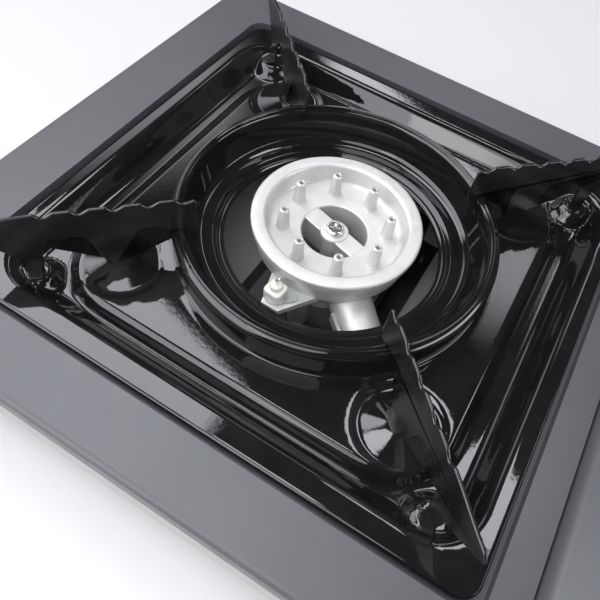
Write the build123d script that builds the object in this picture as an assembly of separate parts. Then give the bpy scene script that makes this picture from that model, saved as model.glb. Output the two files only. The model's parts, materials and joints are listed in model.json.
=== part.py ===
"""Butane cassette stove: pressed steel case, drip pan, aluminium burner and cartridge bay."""
from build123d import *
from math import atan2, cos, degrees, hypot, radians, sin, sqrt, tan
import os

os.makedirs("parts", exist_ok=True)

# ---------------------------------------------------------------- driving dimensions, mm
# body
BODY_W = 344.0            # left to right over the plate's lip
BODY_D = 276.0            # front to back over the plate's lip
PLATE_TOP = 72.0          # table to the top plate
PLATE_T = 1.2             # sheet of the top plate
PLATE_EDGE_R = 2.5        # rolled edge of the top plate
LIP_H = 10.0              # folded lip
BODY_CORNER_R = 12.0
LIP_GAP = 0.8             # lip to case, each side
CASE_T = 1.2              # sheet of the lower case
CASE_DRAFT = 2.8          # degrees, the case narrows to its floor
CASE_BEND_R = 4.0
CASE_BOTTOM = 8.0         # underside of the floor over the table
FLOOR = CASE_BOTTOM + CASE_T
HOLE_ROOM = 1.0           # case openings round the parts that pass through them
# air slots in the case
VENT_COUNT = 7
VENT_PITCH = 24.0
VENT_L = 22.0
VENT_W = 5.0
VENT_Z = 34.0
FLOOR_VENT_COUNT = 5
FLOOR_VENT_PITCH = 11.0
FLOOR_VENT_L = 34.0
FLOOR_VENT_Y = 30.0       # middle of each row of floor slots
WALL_VENT_COUNT = 5       # slots in the bay's partition
WALL_VENT_PITCH = 28.0
WALL_VENT_L = 18.0
WALL_VENT_Z = 50.0
WALL_VENT_BACK = 36.0     # their middle behind the burner's
# burner well in the plate
WELL_LEFT = 29.0          # plate's edge to the well on the left
WELL_RIGHT = 12.6         # well to the bay on the right
WELL_Y = 224.0
WELL_R = 8.0
WELL_DEPTH = 5.0          # plate top to the ledge
LEDGE_W = 7.0
# drip pan
PAN_T = 1.2
PAN_GAP = 2.5             # pan to well wall, each side
SEAT_GAP = 0.3            # loose pieces stand this far off their seats
PAN_RIM_DROP = 0.6        # flange below the plate's top
FLANGE_X = 10.0           # well's wall to the inner ridge of the flange
FLANGE_Y = 13.0
RIDGE_R = 20.0
TROUGH_Z = 61.5
PLATEAU_IN_X = 30.0       # well's wall to the plateau
PLATEAU_IN_Y = 26.0
PLATEAU_R = 28.0
PLATEAU_Z = 67.6
PAN_DRAFT = 38.0          # degrees from the upright on the pan's slopes
BOSS_R_AT = 96.0          # pot support bosses, from the burner's axis
BOSS_R = 14.0             # flat top of a boss
BOSS_Z = 69.0
PAD_IN = 9.2              # flange's ridge to the middle of the outer pads
PAD_R = 6.5
PAD_Z = 68.2
# wind shield ring pressed in the pan
HOLE_R = 49.4
CREST_IN_R = 66.4
CREST_OUT_R = 72.1
CREST_Z = 83.8
RING_FOOT_R = 70.9
RING_FLOOR_R = 61.0
RING_STEP_R = 53.6
RING_STEP = 1.6
RING_JOIN_R = 76.0        # where the ring's pressing meets the plateau
# pot supports
ARM_T = 1.4
ARM_TOP = 101.0
ARM_IN_R = 60.6
ARM_OVER = 20.0           # support's tip beyond its outer pad
ARM_BAR = 15.0
ARM_CORNER = 4.0
NOTCH_FIRST_R = 66.0      # worn notches in the support's top
NOTCH_PITCH = 12.8
NOTCH_IN = 4.6            # a notch falls slowly from the burner's side
NOTCH_OUT = 3.2           # and climbs faster
NOTCH_DEPTH = 2.4
NOTCH_END = 19.0          # last notch to the support's tip, at least
ARM_TIP_DROP = 2.0        # slope of the outer end
HOOK_CLEAR = 0.6          # support over and inside the ring's crest
HOOK_W = 3.6
LEG_IN_R = 84.6
LEG_OUT_R = 98.8
TAB_IN_R = 86.0
TAB_W = 11.0
TAB_DROP = 3.6
SLOT_CLEAR = 0.25
FOOT_IN = 4.0             # foot's edges from the pad's middle
FOOT_OUT = 3.5
FOOT_TAB = 4.5
# burner
RIM_Z = 79.8
CAP_R = 38.0
CAP_RIM_W = 6.4
CAP_RIM_T = 3.0
CAP_WALL = 2.0
DISH_DEPTH = 9.2
DISH_T = 2.2
DISH_DRAFT = 1.2          # how far the dish wall leans in
CAP_HOLE_R = 15.0
BRIDGE_W = 9.0
BRIDGE_DROP = 0.6
BRIDGE_ANGLE = -15.5
HUB_R = 6.5
JET_COUNT = 8
JET_R_AT = 23.5
JET_ANGLE = -15.5
JET_BASE_R = 2.9
JET_TOP_R = 2.1
JET_HOLE_R = 1.0
JET_OVER = 2.1            # jets over the rim
PORT_GAP = 0.6            # flame slit under the rim
BASE_R = 37.4
BASE_FLANGE_T = 1.3
BASE_WALL = 1.8
BASE_BOTTOM = 53.0
CHIMNEY_WALL = 2.0
POST_R = 4.5
WEB_T = 3.5
TUBE_ANGLE = -42.0
TUBE_START_R = 22.0
TUBE_END_R = 96.0
TUBE_START_Z = 57.0
TUBE_END_Z = 45.0
TUBE_ROOT_R = 10.0
TUBE_THROAT_R = 7.6
TUBE_MOUTH_R = 10.0
TUBE_WALL = 1.6
FIN_T = 1.6               # casting's fin beside the mixing tube
FIN_AT = 9.4
FIN_R = (34.0, 62.0)
FIN_Z = (52.0, 57.5)
STAND_R = 5.0
STAND_AT = 24.0
SCREW_R = 1.9
SCREW_HEAD_R = 4.3
SCREW_HEAD_H = 2.2
# black channel that carries the burner
CHANNEL_W = 58.0
CHANNEL_L = 150.0
CHANNEL_TOP = 30.0
CHANNEL_FOOT = 10.7
CHANNEL_T = 1.2
CHANNEL_SCREW_IN = 12.0   # its floor screws from its ends
# ignition electrode
CERAMIC_ANGLE = -96.0
CERAMIC_R_AT = 42.6
CERAMIC_R = 3.6           # sleeve through the ear
CERAMIC_S = 8.4           # square shoulder that sits on the strap
CERAMIC_SHOULDER = 5.0
CERAMIC_NECK_R = 2.7
CERAMIC_LOW = 59.0
CERAMIC_TOP = 74.5
PIN_R = 0.7
PIN_TOP = 77.2
SPARK_GAP = 2.4
EAR_Z = 66.0
EAR_T = 3.0
EAR_FROM_Y = -31.0        # casting's ear, from the burner's axis to the front
EAR_TO_Y = -48.4
EAR_LEFT = -12.5
EAR_RIGHT = 12.0
EAR_TIP = (-7.5, 0.5)
STRAP_T = 1.0
STRAP_END = (2.0, -39.0)  # strap's riveted end on the ear, from the burner's axis
STRAP_END_R = 2.6
STRAP_ROOM = 1.4          # strap's ring round the sleeve
LEAD_R = 1.4
LEAD_END_IN = 3.3         # into the igniter, from the guide face of its plunger
LEAD_RISE_Z = 20.0        # where the lead turns up to the igniter
LEAD_Z = FLOOR + LEAD_R + 2.0
LEAD_CROSS_IN = 21.0      # body's front to where the lead passes the partition
CLIP_FROM = ((-55.0, 26.0), (-27.0, 22.5))  # clips from the partition and the body's front
CLIP_W = 6.0
CLIP_D = 8.0
# cartridge bay
BAY_W = 72.4              # right edge of the top plate to the right side
PARTITION_IN = 4.6        # partition from the plate's edge
PARTITION_T = 1.2
AXIS_IN = 37.0            # axis of cartridge, regulator and knob from the right side
AXIS_Z = 44.5
CARTRIDGE_R = 34.0
BULKHEAD_IN = 52.0        # body's front to the front face of the regulator plate
BULKHEAD_T = 1.2
BULKHEAD_TOP = 65.0
BULKHEAD_SHOULDER = 60.0  # beside the top plate's fold
SADDLE_L = 14.0
SADDLE_W = 46.0
SADDLE_HORN = 9.0         # saddle's ends over the cartridge's lowest line
SADDLE_FROM = (40.0, 150.0)   # cartridge rests behind the regulator plate
# regulator
SOCKET_R = 16.0
SOCKET_BORE_R = 7.0
SOCKET_L = 8.0
SEAL_R = 13.5             # counterbore that takes the seal
SEAL_DEPTH = 4.0
REG_R = 15.0
REG_L = 28.0              # regulator's barrel in front of its plate
REG_BOSS_L = 5.0          # boss round the valve shaft
REG_BOSS_WALL = 3.0
REG_OUTLET_R = 5.0
REG_OUTLET_L = 4.0
REG_NECK_R = 13.0         # neck down to the diaphragm housing
REG_NECK_OVER = 2.0
DIAPHRAGM_R = 19.0
DIAPHRAGM_H = 12.0
DIAPHRAGM_AT = 20.0       # diaphragm housing, in front of the plate
REG_OUTLET_AT = 10.0      # gas outlet, in front of the plate
SHAFT_R = 4.0
SHAFT_FLAT = 1.2          # cut off the shaft's round in the knob
SHAFT_IN_KNOB = 8.0
SHAFT_IN_REG = 10.0
BORE_OVER = 1.0           # a blind bore runs this far past what it takes
FLANGE_L = 50.0           # regulator's flange behind the plate
FLANGE_W = 20.0
FLANGE_T = 2.5
REG_SCREW_AT = 20.5       # flange screws, each side of the axis
REG_SCREW_R = 1.5
REG_SCREW_HEAD_R = 2.8
SEAL_T = 2.0
RUN_CLEAR = 0.05          # running fit, on the radius
PIPE_R = 3.0
PIPE_WALL = 0.8
PIPE_Z = 40.0
NOZZLE_R = 4.0
NOZZLE_TIP_R = 1.6
NOZZLE_HOLE_R = 0.4
NOZZLE_L = 14.0
NOZZLE_AT = 3.0           # tip, beyond the mixing tube's mouth
NOZZLE_HEX_R = 5.2
NOZZLE_HEX_L = 4.5
BRACKET_T = 1.5
BRACKET_W = 18.0
BRACKET_OVER = 7.0        # nozzle bracket over the nozzle's axis
# knob
KNOB_R = 22.0
KNOB_SKIRT = 4.0
KNOB_FRONT_GAP = 1.4      # body's front to the knob's back
KNOB_DEPTH = 14.6
GRIP_W = 9.0
CAM_R = 8.0
CAM_RISE = 4.0
KNOB_TURN = 95.0
CAM_IN = 14.0             # body's front to the cam's middle
CAM_T = 5.0
# piezo igniter
PIEZO_L = 15.0
PIEZO_S = 12.0
PLUNGER_R = 2.2
PLUNGER_GAP = 0.7
# lid
LID_T = 1.4
LID_GAP = 0.7
LID_LOW = 66.0
LID_TOP = 84.5
LID_END_GAP = 0.4
HINGE_IN = 2.1            # hinge axis from the right side
HINGE_Z = 61.0
BARREL_R = 2.1
HINGE_PIN_R = 1.0
CASE_BARREL_L = 30.0
CASE_BARREL_IN = 28.0     # body's ends to the outer barrels
LID_BARREL_L = 60.0
LID_BENDS = [6.0, 24.0, 24.0, 10.0]
BARREL_GAP = 0.5
# lock lever and carriage
LEVER_IN = 11.0           # lever plate from the partition
LEVER_T = 1.5
LEVER_TRAVEL = 18.0
LEVER_TOP = 62.0
LEVER_H = 26.0
LEVER_Y_IN = 10.0         # body's front to the lever plate
LEVER_L = 25.0
STEM_H = 8.0
STEM_TOP = 56.0
CARRIAGE_TRAVEL = 8.0
CAM_PIN_R = 2.0
CAM_SLOT_CLEAR = 0.35
BAR_OUT = 3.0             # sliding bar from the partition
BAR_T = 2.0
BAR_LOW = 20.0
BAR_H = 12.0
PUSHER_FROM = 202.0       # pusher behind the regulator plate
PUSHER_T = 2.0
GUIDE_CLEAR = 0.35
GUIDES_FROM = (26.0, 106.0, 176.0)
GUIDE_L = 10.0
GUIDE_WALL = 1.4          # lever guide's walls beside its groove
GUIDE_REACH = 2.6         # groove's hold on the lever plate's edges
GUIDE_BASE_W = 14.0
GUIDE_BASE_T = 1.5
GRIP_SIZE = 15.0
GRIP_HALF = 7.0
RIB_PITCH = 4.0
RIB_GROOVE = 1.2
# feet and small fasteners
FOOT_R = 9.0
FOOT_IN_X = 24.0          # feet from the body's sides
FOOT_IN_Y = 26.0
FOOT_STEM_R = 3.0
CASE_SCREW_R = 2.0
CASE_SCREW_HEAD_R = 3.6
CASE_SCREW_HEAD_H = 2.0
CASE_SCREW_L = 4.5
SCREW_PLAY = 0.1

# ---------------------------------------------------------------- worked out sizes
PLATE_UNDER = PLATE_TOP - PLATE_T
CASE_TOP_W = BODY_W - 2 * (PLATE_T + LIP_GAP)
CASE_TOP_D = BODY_D - 2 * (PLATE_T + LIP_GAP)
CASE_H = PLATE_UNDER - CASE_BOTTOM
CASE_LEAN = tan(radians(CASE_DRAFT))
LEDGE_Z = PLATE_TOP - WELL_DEPTH
SIDE = BODY_W / 2
FRONT = -BODY_D / 2
BAY_EDGE = SIDE - BAY_W
WELL_X = BAY_EDGE + SIDE - WELL_LEFT - WELL_RIGHT
BURNER_X = WELL_LEFT + WELL_X / 2 - SIDE      # burner axis from the body's middle
PARTITION_X = BAY_EDGE - PARTITION_IN
AXIS_X = SIDE - AXIS_IN
HINGE_X = SIDE - HINGE_IN
LEVER_X = PARTITION_X - LEVER_IN
BAR_X = PARTITION_X + BAR_OUT
FOOT_X = SIDE - FOOT_IN_X
BULKHEAD_Y = FRONT + BULKHEAD_IN
REG_FRONT_Y = BULKHEAD_Y - REG_L
DIAPHRAGM_Y = BULKHEAD_Y - DIAPHRAGM_AT
REG_OUTLET_Y = BULKHEAD_Y - REG_OUTLET_AT
SADDLE_AT = [BULKHEAD_Y + y for y in SADDLE_FROM]
GUIDES_AT = [BULKHEAD_Y + y for y in GUIDES_FROM]
PUSHER_Y = BULKHEAD_Y + PUSHER_FROM
KNOB_BACK = BODY_D / 2 + KNOB_FRONT_GAP
KNOB_OUT = KNOB_BACK + KNOB_DEPTH
CAM_Y = FRONT + CAM_IN
LEVER_Y0 = FRONT + LEVER_Y_IN
LEVER_Y1 = LEVER_Y0 + LEVER_L
LEAD_CROSS_Y = FRONT + LEAD_CROSS_IN
CLIP_AT = [(PARTITION_X + x, FRONT + y) for x, y in CLIP_FROM]
LID_END = BODY_D / 2
BARRELS_REACH = BODY_D / 2 - CASE_BARREL_IN
CASE_BARRELS_AT = (-BARRELS_REACH, 0.0, BARRELS_REACH)
LID_BARRELS_AT = (-BARRELS_REACH / 2, BARRELS_REACH / 2)
FOOT_Y = BODY_D / 2 - FOOT_IN_Y
RIDGE_X = WELL_X - 2 * FLANGE_X
RIDGE_Y = WELL_Y - 2 * FLANGE_Y
PAD_R_AT = (min(RIDGE_X, RIDGE_Y) / 2 - PAD_IN) * sqrt(2)
FOOT_IN_R = PAD_R_AT - FOOT_IN
FOOT_OUT_R = PAD_R_AT + FOOT_OUT
ARM_OUT_R = PAD_R_AT + ARM_OVER
NOTCH_COUNT = 1 + int((ARM_OUT_R - NOTCH_END - NOTCH_FIRST_R) / NOTCH_PITCH)
PLATEAU_X = WELL_X - 2 * PLATEAU_IN_X
PLATEAU_Y = WELL_Y - 2 * PLATEAU_IN_Y
PAN_X = WELL_X - 2 * PAN_GAP
PAN_Y = WELL_Y - 2 * PAN_GAP
PAN_RIM_Z = PLATE_TOP - PAN_RIM_DROP
PAN_SLOPE = tan(radians(PAN_DRAFT))
DISH_Z = RIM_Z - DISH_DEPTH
DISH_UNDER = DISH_Z - DISH_T
DISH_R = CAP_R - CAP_RIM_W
BASE_TOP = RIM_Z - CAP_RIM_T - PORT_GAP
FRONT_SHIFT = (KNOB_OUT - BODY_D / 2) / 2   # centres the whole outline on Y
BURNER = Pos(BURNER_X, 0, 0)


def save(name, shape):
    """Write one sub-part, moved so that the whole stove is centred on the origin."""
    export_step(Pos(0, FRONT_SHIFT, 0) * shape, f"parts/{name}.step")


def rounded(width, depth, radius, low, high, x=0.0, y=0.0):
    """Upright block with rounded corners between two heights."""
    return Pos(x, y, low) * extrude(RectangleRounded(width, depth, radius), high - low)


def block(x0, x1, y0, y1, z0, z1):
    """Plain block from its six limits."""
    middle = Pos((x0 + x1) / 2, (y0 + y1) / 2, (z0 + z1) / 2)
    return middle * Box(x1 - x0, y1 - y0, z1 - z0)


def rod(radius, start, direction, length):
    """Cylinder from a start point along a direction."""
    plane = Plane(origin=start, z_dir=direction)
    return extrude(plane * Circle(radius), length)


def polar(radius, angle, z=0.0):
    """Point round the burner's axis, in body coordinates."""
    return (BURNER_X + radius * cos(radians(angle)), radius * sin(radians(angle)), z)


def miter(points, thickness):
    """Offset an open chain of points to its right side by a sheet's thickness."""
    moved = []
    for i, (x, z) in enumerate(points):
        before = points[max(i - 1, 0)]
        after = points[min(i + 1, len(points) - 1)]
        sides = []
        for a, b in ((before, (x, z)), ((x, z), after)):
            length = hypot(b[0] - a[0], b[1] - a[1])
            if length > 0:
                sides.append(((b[1] - a[1]) / length, -(b[0] - a[0]) / length))
        nx = sum(s[0] for s in sides) / len(sides)
        nz = sum(s[1] for s in sides) / len(sides)
        scale = thickness / (nx * nx + nz * nz)
        moved.append((x + nx * scale, z + nz * scale))
    return moved


def sheet_section(points, radii, thickness):
    """Bent sheet section: rounded chain of points, thickened to its right side.

    A corner that turns left has its bend on the other side, so its inner radius grows.
    """
    other = miter(points, thickness)
    other_radii = []
    for i, radius in enumerate(radii):
        a, b, c = points[i], points[i + 1], points[i + 2]
        turn = (b[0] - a[0]) * (c[1] - b[1]) - (b[1] - a[1]) * (c[0] - b[0])
        grown = radius + thickness if turn > 0 else radius - thickness
        other_radii.append(max(grown, 0.3))
    top = FilletPolyline(*points, radius=radii)
    under = FilletPolyline(*other, radius=other_radii)
    ends = [Line(points[0], other[0]), Line(points[-1], other[-1])]
    return make_face([*top.edges(), *under.edges(), *ends])


# ---------------------------------------------------------------- case and plate
def case_form(inset, floor):
    """Tapered tub between the floor height and the plate, set in by a sheet."""
    fall = PLATE_UNDER - floor
    width = CASE_TOP_W - 2 * inset - 2 * fall * CASE_LEAN
    depth = CASE_TOP_D - 2 * inset - 2 * fall * CASE_LEAN
    corner = BODY_CORNER_R - PLATE_T - LIP_GAP - inset
    outline = RectangleRounded(width, depth, corner - min(corner / 2, fall * CASE_LEAN))
    tub = Pos(0, 0, floor) * extrude(outline, fall, taper=-CASE_DRAFT)
    bottom = tub.edges().group_by(Axis.Z)[0]
    return fillet(bottom, CASE_BEND_R - inset)


def spread(count, pitch):
    """Places at a pitch on both sides of zero."""
    return [(i - (count - 1) / 2) * pitch for i in range(count)]


def vent_slots():
    """Air slots: floor under the burner, left side and back."""
    cuts = []
    for x in spread(FLOOR_VENT_COUNT, FLOOR_VENT_PITCH):
        for y in (-FLOOR_VENT_Y, FLOOR_VENT_Y):
            place = Pos(BURNER_X + x, y, CASE_BOTTOM)
            slot = place * SlotOverall(FLOOR_VENT_L, VENT_W, rotation=90)
            cuts.append(extrude(slot, 4 * CASE_T, both=True))
    for along in spread(VENT_COUNT, VENT_PITCH):
        left = Plane(origin=(-BODY_W / 2, along, VENT_Z), x_dir=(0, 0, 1), z_dir=(1, 0, 0))
        back_at = (BURNER_X + along, BODY_D / 2, VENT_Z)
        back = Plane(origin=back_at, x_dir=(0, 0, 1), z_dir=(0, -1, 0))
        for side in (left, back):
            cuts.append(extrude(side * SlotOverall(VENT_L, VENT_W), 12 * CASE_T))
    return cuts


def case_barrels():
    """Hinge barrels on the case, each on a tongue that stands on the right wall."""
    barrels = []
    wall = case_wall_x(HINGE_Z)
    for y in CASE_BARRELS_AT:
        start = (HINGE_X, y - CASE_BARREL_L / 2, HINGE_Z)
        barrel = rod(BARREL_R, start, (0, 1, 0), CASE_BARREL_L)
        tongue = block(
            wall - CASE_T, wall, y - CASE_BARREL_L / 2, y + CASE_BARREL_L / 2,
            HINGE_Z - 2 * BARREL_R, HINGE_Z,
        )
        barrels.append(barrel + tongue)
    return barrels


def case_wall_x(z):
    """Outer face of the case's side wall at a height."""
    return CASE_TOP_W / 2 - (PLATE_UNDER - z) * CASE_LEAN


def case_wall_y(z):
    """Outer face of the case's front and back wall at a height."""
    return CASE_TOP_D / 2 - (PLATE_UNDER - z) * CASE_LEAN


def make_lower_case():
    """Pale lower case: one pressed tub with its openings."""
    tub = case_form(0, CASE_BOTTOM) - case_form(CASE_T, FLOOR)
    tub -= block(BAY_EDGE, BODY_W, -BODY_D, BODY_D, LID_LOW - 1.0, BODY_W)
    hinge_cut = HINGE_Z - BARREL_R - LID_GAP
    inside = case_wall_x(HINGE_Z) - 2 * CASE_T
    reach = case_wall_y(HINGE_Z) - BODY_CORNER_R
    tub -= block(inside, BODY_W, -reach, reach, hinge_cut, BODY_W)
    for cut in vent_slots():
        tub -= cut
    for x in (-FOOT_X, FOOT_X):
        for y in (-FOOT_Y, FOOT_Y):
            tub -= Pos(x, y, CASE_BOTTOM) * Cylinder(FOOT_STEM_R, 4 * CASE_T)
    for x, y in screw_places():
        tub -= Pos(x, y, CASE_BOTTOM) * Cylinder(CASE_SCREW_R, 4 * CASE_T)
    wall_reach = 12 * CASE_T
    tub -= rod(SHAFT_R + HOLE_ROOM, (AXIS_X, -BODY_D / 2, AXIS_Z), (0, 1, 0), wall_reach)
    tub -= block(
        LEVER_X - HOLE_ROOM, LEVER_X + LEVER_T + HOLE_ROOM, -BODY_D / 2,
        -BODY_D / 2 + wall_reach, STEM_TOP - STEM_H - LEVER_TRAVEL - HOLE_ROOM,
        STEM_TOP + HOLE_ROOM,
    )
    for barrel in case_barrels():
        tub += barrel
    tub -= rod(HINGE_PIN_R, (HINGE_X, -BODY_D / 2, HINGE_Z), (0, 1, 0), BODY_D)
    return tub


def make_top_plate():
    """Satin top plate: folded lip, well with a ledge, fold along the cartridge bay."""
    low = PLATE_TOP - LIP_H
    skin = rounded(BODY_W, BODY_D, BODY_CORNER_R, low, PLATE_TOP)
    skin = fillet(skin.edges().group_by(Axis.Z)[-1], PLATE_EDGE_R)
    hollow = rounded(
        BODY_W - 2 * PLATE_T, BODY_D - 2 * PLATE_T, BODY_CORNER_R - PLATE_T, low, PLATE_UNDER
    )
    hollow = fillet(hollow.edges().group_by(Axis.Z)[-1], LIP_GAP - 0.1)
    skin -= hollow
    skin -= block(BAY_EDGE, BODY_W, -BODY_D, BODY_D, 0, 2 * PLATE_TOP)
    inside = case_wall_y(low) - CASE_T - LIP_GAP
    skin += block(BAY_EDGE - PLATE_T, BAY_EDGE, -inside, inside, low, PLATE_TOP - 1.0)
    skin -= rounded(WELL_X, WELL_Y, WELL_R, LEDGE_Z, 2 * PLATE_TOP, BURNER_X)
    tray = rounded(
        WELL_X + 2 * PLATE_T, WELL_Y + 2 * PLATE_T, WELL_R + PLATE_T,
        LEDGE_Z - PLATE_T, PLATE_TOP, BURNER_X,
    )
    tray -= rounded(WELL_X, WELL_Y, WELL_R, LEDGE_Z, 2 * PLATE_TOP, BURNER_X)
    tray -= rounded(
        WELL_X - 2 * LEDGE_W, WELL_Y - 2 * LEDGE_W, WELL_R / 2, 0, 2 * PLATE_TOP, BURNER_X
    )
    return skin + tray


def screw_places():
    """Floor screws: four through the burner channel's feet, one under each saddle."""
    side = CHANNEL_W / 2 + CHANNEL_FOOT / 2
    end = CHANNEL_L / 2 - CHANNEL_SCREW_IN
    places = [(BURNER_X + sx * side, sy * end) for sx in (-1, 1) for sy in (-1, 1)]
    places += [(AXIS_X, y) for y in SADDLE_AT]
    return places


def make_foot():
    """Rubber foot: tapered pad with a stem and a barb through the floor."""
    outline = Polyline(
        (0, 0), (FOOT_R - 1.5, 0), (FOOT_R, CASE_BOTTOM), (FOOT_STEM_R, CASE_BOTTOM),
        (FOOT_STEM_R, FLOOR), (FOOT_STEM_R + 1.2, FLOOR), (FOOT_STEM_R - 0.6, FLOOR + 3.0),
        (0, FLOOR + 3.0), close=True,
    )
    return revolve(Plane.XZ * make_face(outline.edges()), Axis.Z)


def make_case_screws():
    """Pan-head screws under the floor, one solid each."""
    screws = []
    for x, y in screw_places():
        head = extrude(Circle(CASE_SCREW_HEAD_R), -CASE_SCREW_HEAD_H, taper=12)
        shank = extrude(Circle(CASE_SCREW_R - SCREW_PLAY), CASE_SCREW_L)
        screws.append(Pos(x, y, CASE_BOTTOM) * (head + shank))
    return Compound(screws)


# ---------------------------------------------------------------- drip pan
def pan_form(sheet):
    """Everything under the pan's surface; with a sheet's thickness, what lies under it.

    Upright faces move in by the sheet. A slope keeps the sheet's thickness when it moves
    sideways by sheet * (1 - sin a) / cos a and down by the sheet, a being its draft.
    """
    lean = radians(PAN_DRAFT)
    side = sheet * (1 - sin(lean)) / cos(lean)
    base = TROUGH_Z - 10.0
    form = rounded(
        PAN_X - 2 * sheet, PAN_Y - 2 * sheet, WELL_R - sheet / 2, base, PAN_RIM_Z - sheet
    )
    fall = PAN_RIM_Z - TROUGH_Z
    mouth = RectangleRounded(RIDGE_X + 2 * side, RIDGE_Y + 2 * side, RIDGE_R + side)
    trough = extrude(mouth, -fall, taper=PAN_DRAFT)
    form -= Pos(0, 0, PAN_RIM_Z - sheet) * trough
    form -= rounded(RIDGE_X, RIDGE_Y, RIDGE_R, PAN_RIM_Z - sheet, PAN_RIM_Z + 1.0)
    form += rise(
        RectangleRounded(PLATEAU_X - 2 * side, PLATEAU_Y - 2 * side, PLATEAU_R - side),
        PLATEAU_Z - sheet, PLATEAU_Z - TROUGH_Z, PAN_DRAFT,
    )
    for turn in (45, 135, 225, 315):
        at = Rot(0, 0, turn) * Pos(BOSS_R_AT, 0, 0)
        boss = rise(Circle(BOSS_R - side), BOSS_Z - sheet, BOSS_Z - TROUGH_Z, PAN_DRAFT - 5.0)
        form += at * boss
        at = Rot(0, 0, turn) * Pos(PAD_R_AT, 0, 0)
        pad = rise(Circle(PAD_R - side), PAD_Z - sheet, PAD_Z - TROUGH_Z, PAN_DRAFT - 10.0)
        form += at * pad
    return form


def rise(outline, top, height, draft):
    """Form that widens downwards from an outline at its top."""
    return Pos(0, 0, top) * extrude(outline, -height, taper=-draft)


def ring_section():
    """Section of the ring: hole edge, step, floor, sloped inside, round crest, outer wall."""
    low = PLATEAU_Z
    points = [
        (HOLE_R, low - RING_STEP),
        (RING_STEP_R - 1.0, low - RING_STEP),
        (RING_STEP_R + 0.6, low),
        (RING_FLOOR_R, low),
        (CREST_IN_R - 1.2, CREST_Z - 6.0),
        (CREST_IN_R + 0.2, CREST_Z),
        (CREST_OUT_R, CREST_Z),
        (RING_FOOT_R, low),
        (RING_JOIN_R, low),
    ]
    radii = [0.8, 1.3, 5.0, 5.0, 2.4, 2.7, 1.6]
    return sheet_section(points, radii, PAN_T)


def make_drip_pan():
    """Enamelled pan: flange, trough, plateau, four bosses and the wind shield ring."""
    pan = pan_form(0) - pan_form(PAN_T)
    skirt_low = LEDGE_Z + SEAT_GAP
    inner = RectangleRounded(PAN_X - 2 * PAN_T, PAN_Y - 2 * PAN_T, WELL_R - PAN_T / 2)
    outer = RectangleRounded(PAN_X + 4, PAN_Y + 4, WELL_R)
    pan -= extrude(outer - inner, skirt_low)
    pan -= Cylinder(RING_JOIN_R - 0.8, 4 * PLATE_TOP)
    ring = revolve(Plane.XZ * ring_section(), Axis.Z)
    pan += ring
    for turn in (45, 135, 225, 315):
        slot = Pos(TAB_IN_R + TAB_W / 2, 0, BOSS_Z) * Box(
            TAB_W + 2 * SLOT_CLEAR, ARM_T + 2 * SLOT_CLEAR, 6 * PAN_T
        )
        pan -= Rot(0, 0, turn) * slot
    return BURNER * pan


def arm_top():
    """Top edge of a pot support: round inner corner, worn notches, sloping tip."""
    corner = ARM_TOP - NOTCH_DEPTH / 2
    sag = 0.3 * ARM_CORNER
    start = (ARM_IN_R, corner - ARM_CORNER)
    here = (ARM_IN_R + ARM_CORNER / 2, corner)
    waves = [here]
    for i in range(NOTCH_COUNT):
        r = NOTCH_FIRST_R + i * NOTCH_PITCH
        if i > 0:
            waves.append((r - NOTCH_IN, ARM_TOP - 0.2))
        waves.append((r, ARM_TOP - NOTCH_DEPTH))
        waves.append((r + NOTCH_OUT, ARM_TOP - 0.2))
    low = ARM_TOP - ARM_TIP_DROP
    tip = (ARM_OUT_R - ARM_CORNER, low)
    return [
        ThreePointArc(start, (ARM_IN_R + sag / 2, corner - sag), here),
        Spline(*waves),
        Line(waves[-1], tip),
        ThreePointArc(tip, (ARM_OUT_R - sag, low - sag), (ARM_OUT_R, low - ARM_CORNER)),
    ]


def arm_under():
    """Lower edge of a pot support: outer foot, leg with its tab, hook over the ring."""
    low = ARM_TOP - ARM_BAR
    over = CREST_Z + HOOK_CLEAR
    hook_in = CREST_IN_R - HOOK_CLEAR
    hook_low = CREST_Z - 1.6
    gap = FOOT_IN_R - LEG_OUT_R
    tab_low = BOSS_Z - TAB_DROP
    return Polyline(
        (ARM_OUT_R, ARM_TOP - ARM_TIP_DROP - ARM_CORNER),
        (FOOT_OUT_R, PAD_Z + 9.0),
        (FOOT_OUT_R, PAD_Z),
        (FOOT_IN_R, PAD_Z),
        (FOOT_IN_R - 0.08 * gap, low - 5.0),
        (FOOT_IN_R - 0.24 * gap, low + 0.3),
        (LEG_OUT_R + 0.28 * gap, low + 0.5),
        (LEG_OUT_R + 0.17 * gap, low - 3.5),
        (LEG_OUT_R, BOSS_Z),
        (TAB_IN_R + TAB_W, BOSS_Z),
        (TAB_IN_R + TAB_W, tab_low),
        (TAB_IN_R, tab_low),
        (TAB_IN_R, BOSS_Z),
        (LEG_IN_R, BOSS_Z),
        (LEG_IN_R - 0.4, low - 3.0),
        (LEG_IN_R - 1.0, low + 0.6),
        (LEG_IN_R - 3.4, low + 1.2),
        (CREST_OUT_R + HOOK_CLEAR + 4.4, low - 0.4),
        (CREST_OUT_R + HOOK_CLEAR + 1.0, low),
        (CREST_OUT_R + HOOK_CLEAR, over),
        (hook_in, over),
        (hook_in, hook_low),
        (hook_in - HOOK_W + 1.6, hook_low),
        (ARM_IN_R, low),
        (ARM_IN_R, ARM_TOP - NOTCH_DEPTH / 2 - ARM_CORNER),
    )


def make_pot_support(turn):
    """One upright support on its diagonal, with a foot tab bent to one side."""
    lines = [*arm_top(), arm_under()]
    outline = make_face([edge for line in lines for edge in line.edges()])
    plate = extrude(Plane.XZ * outline, ARM_T / 2, both=True)
    tab = block(
        FOOT_IN_R + 0.8, FOOT_OUT_R - 0.8, ARM_T / 2 - 0.2, ARM_T / 2 + FOOT_TAB,
        PAD_Z, PAD_Z + ARM_T,
    )
    return BURNER * (Rot(0, 0, turn) * (plate + tab))


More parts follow.
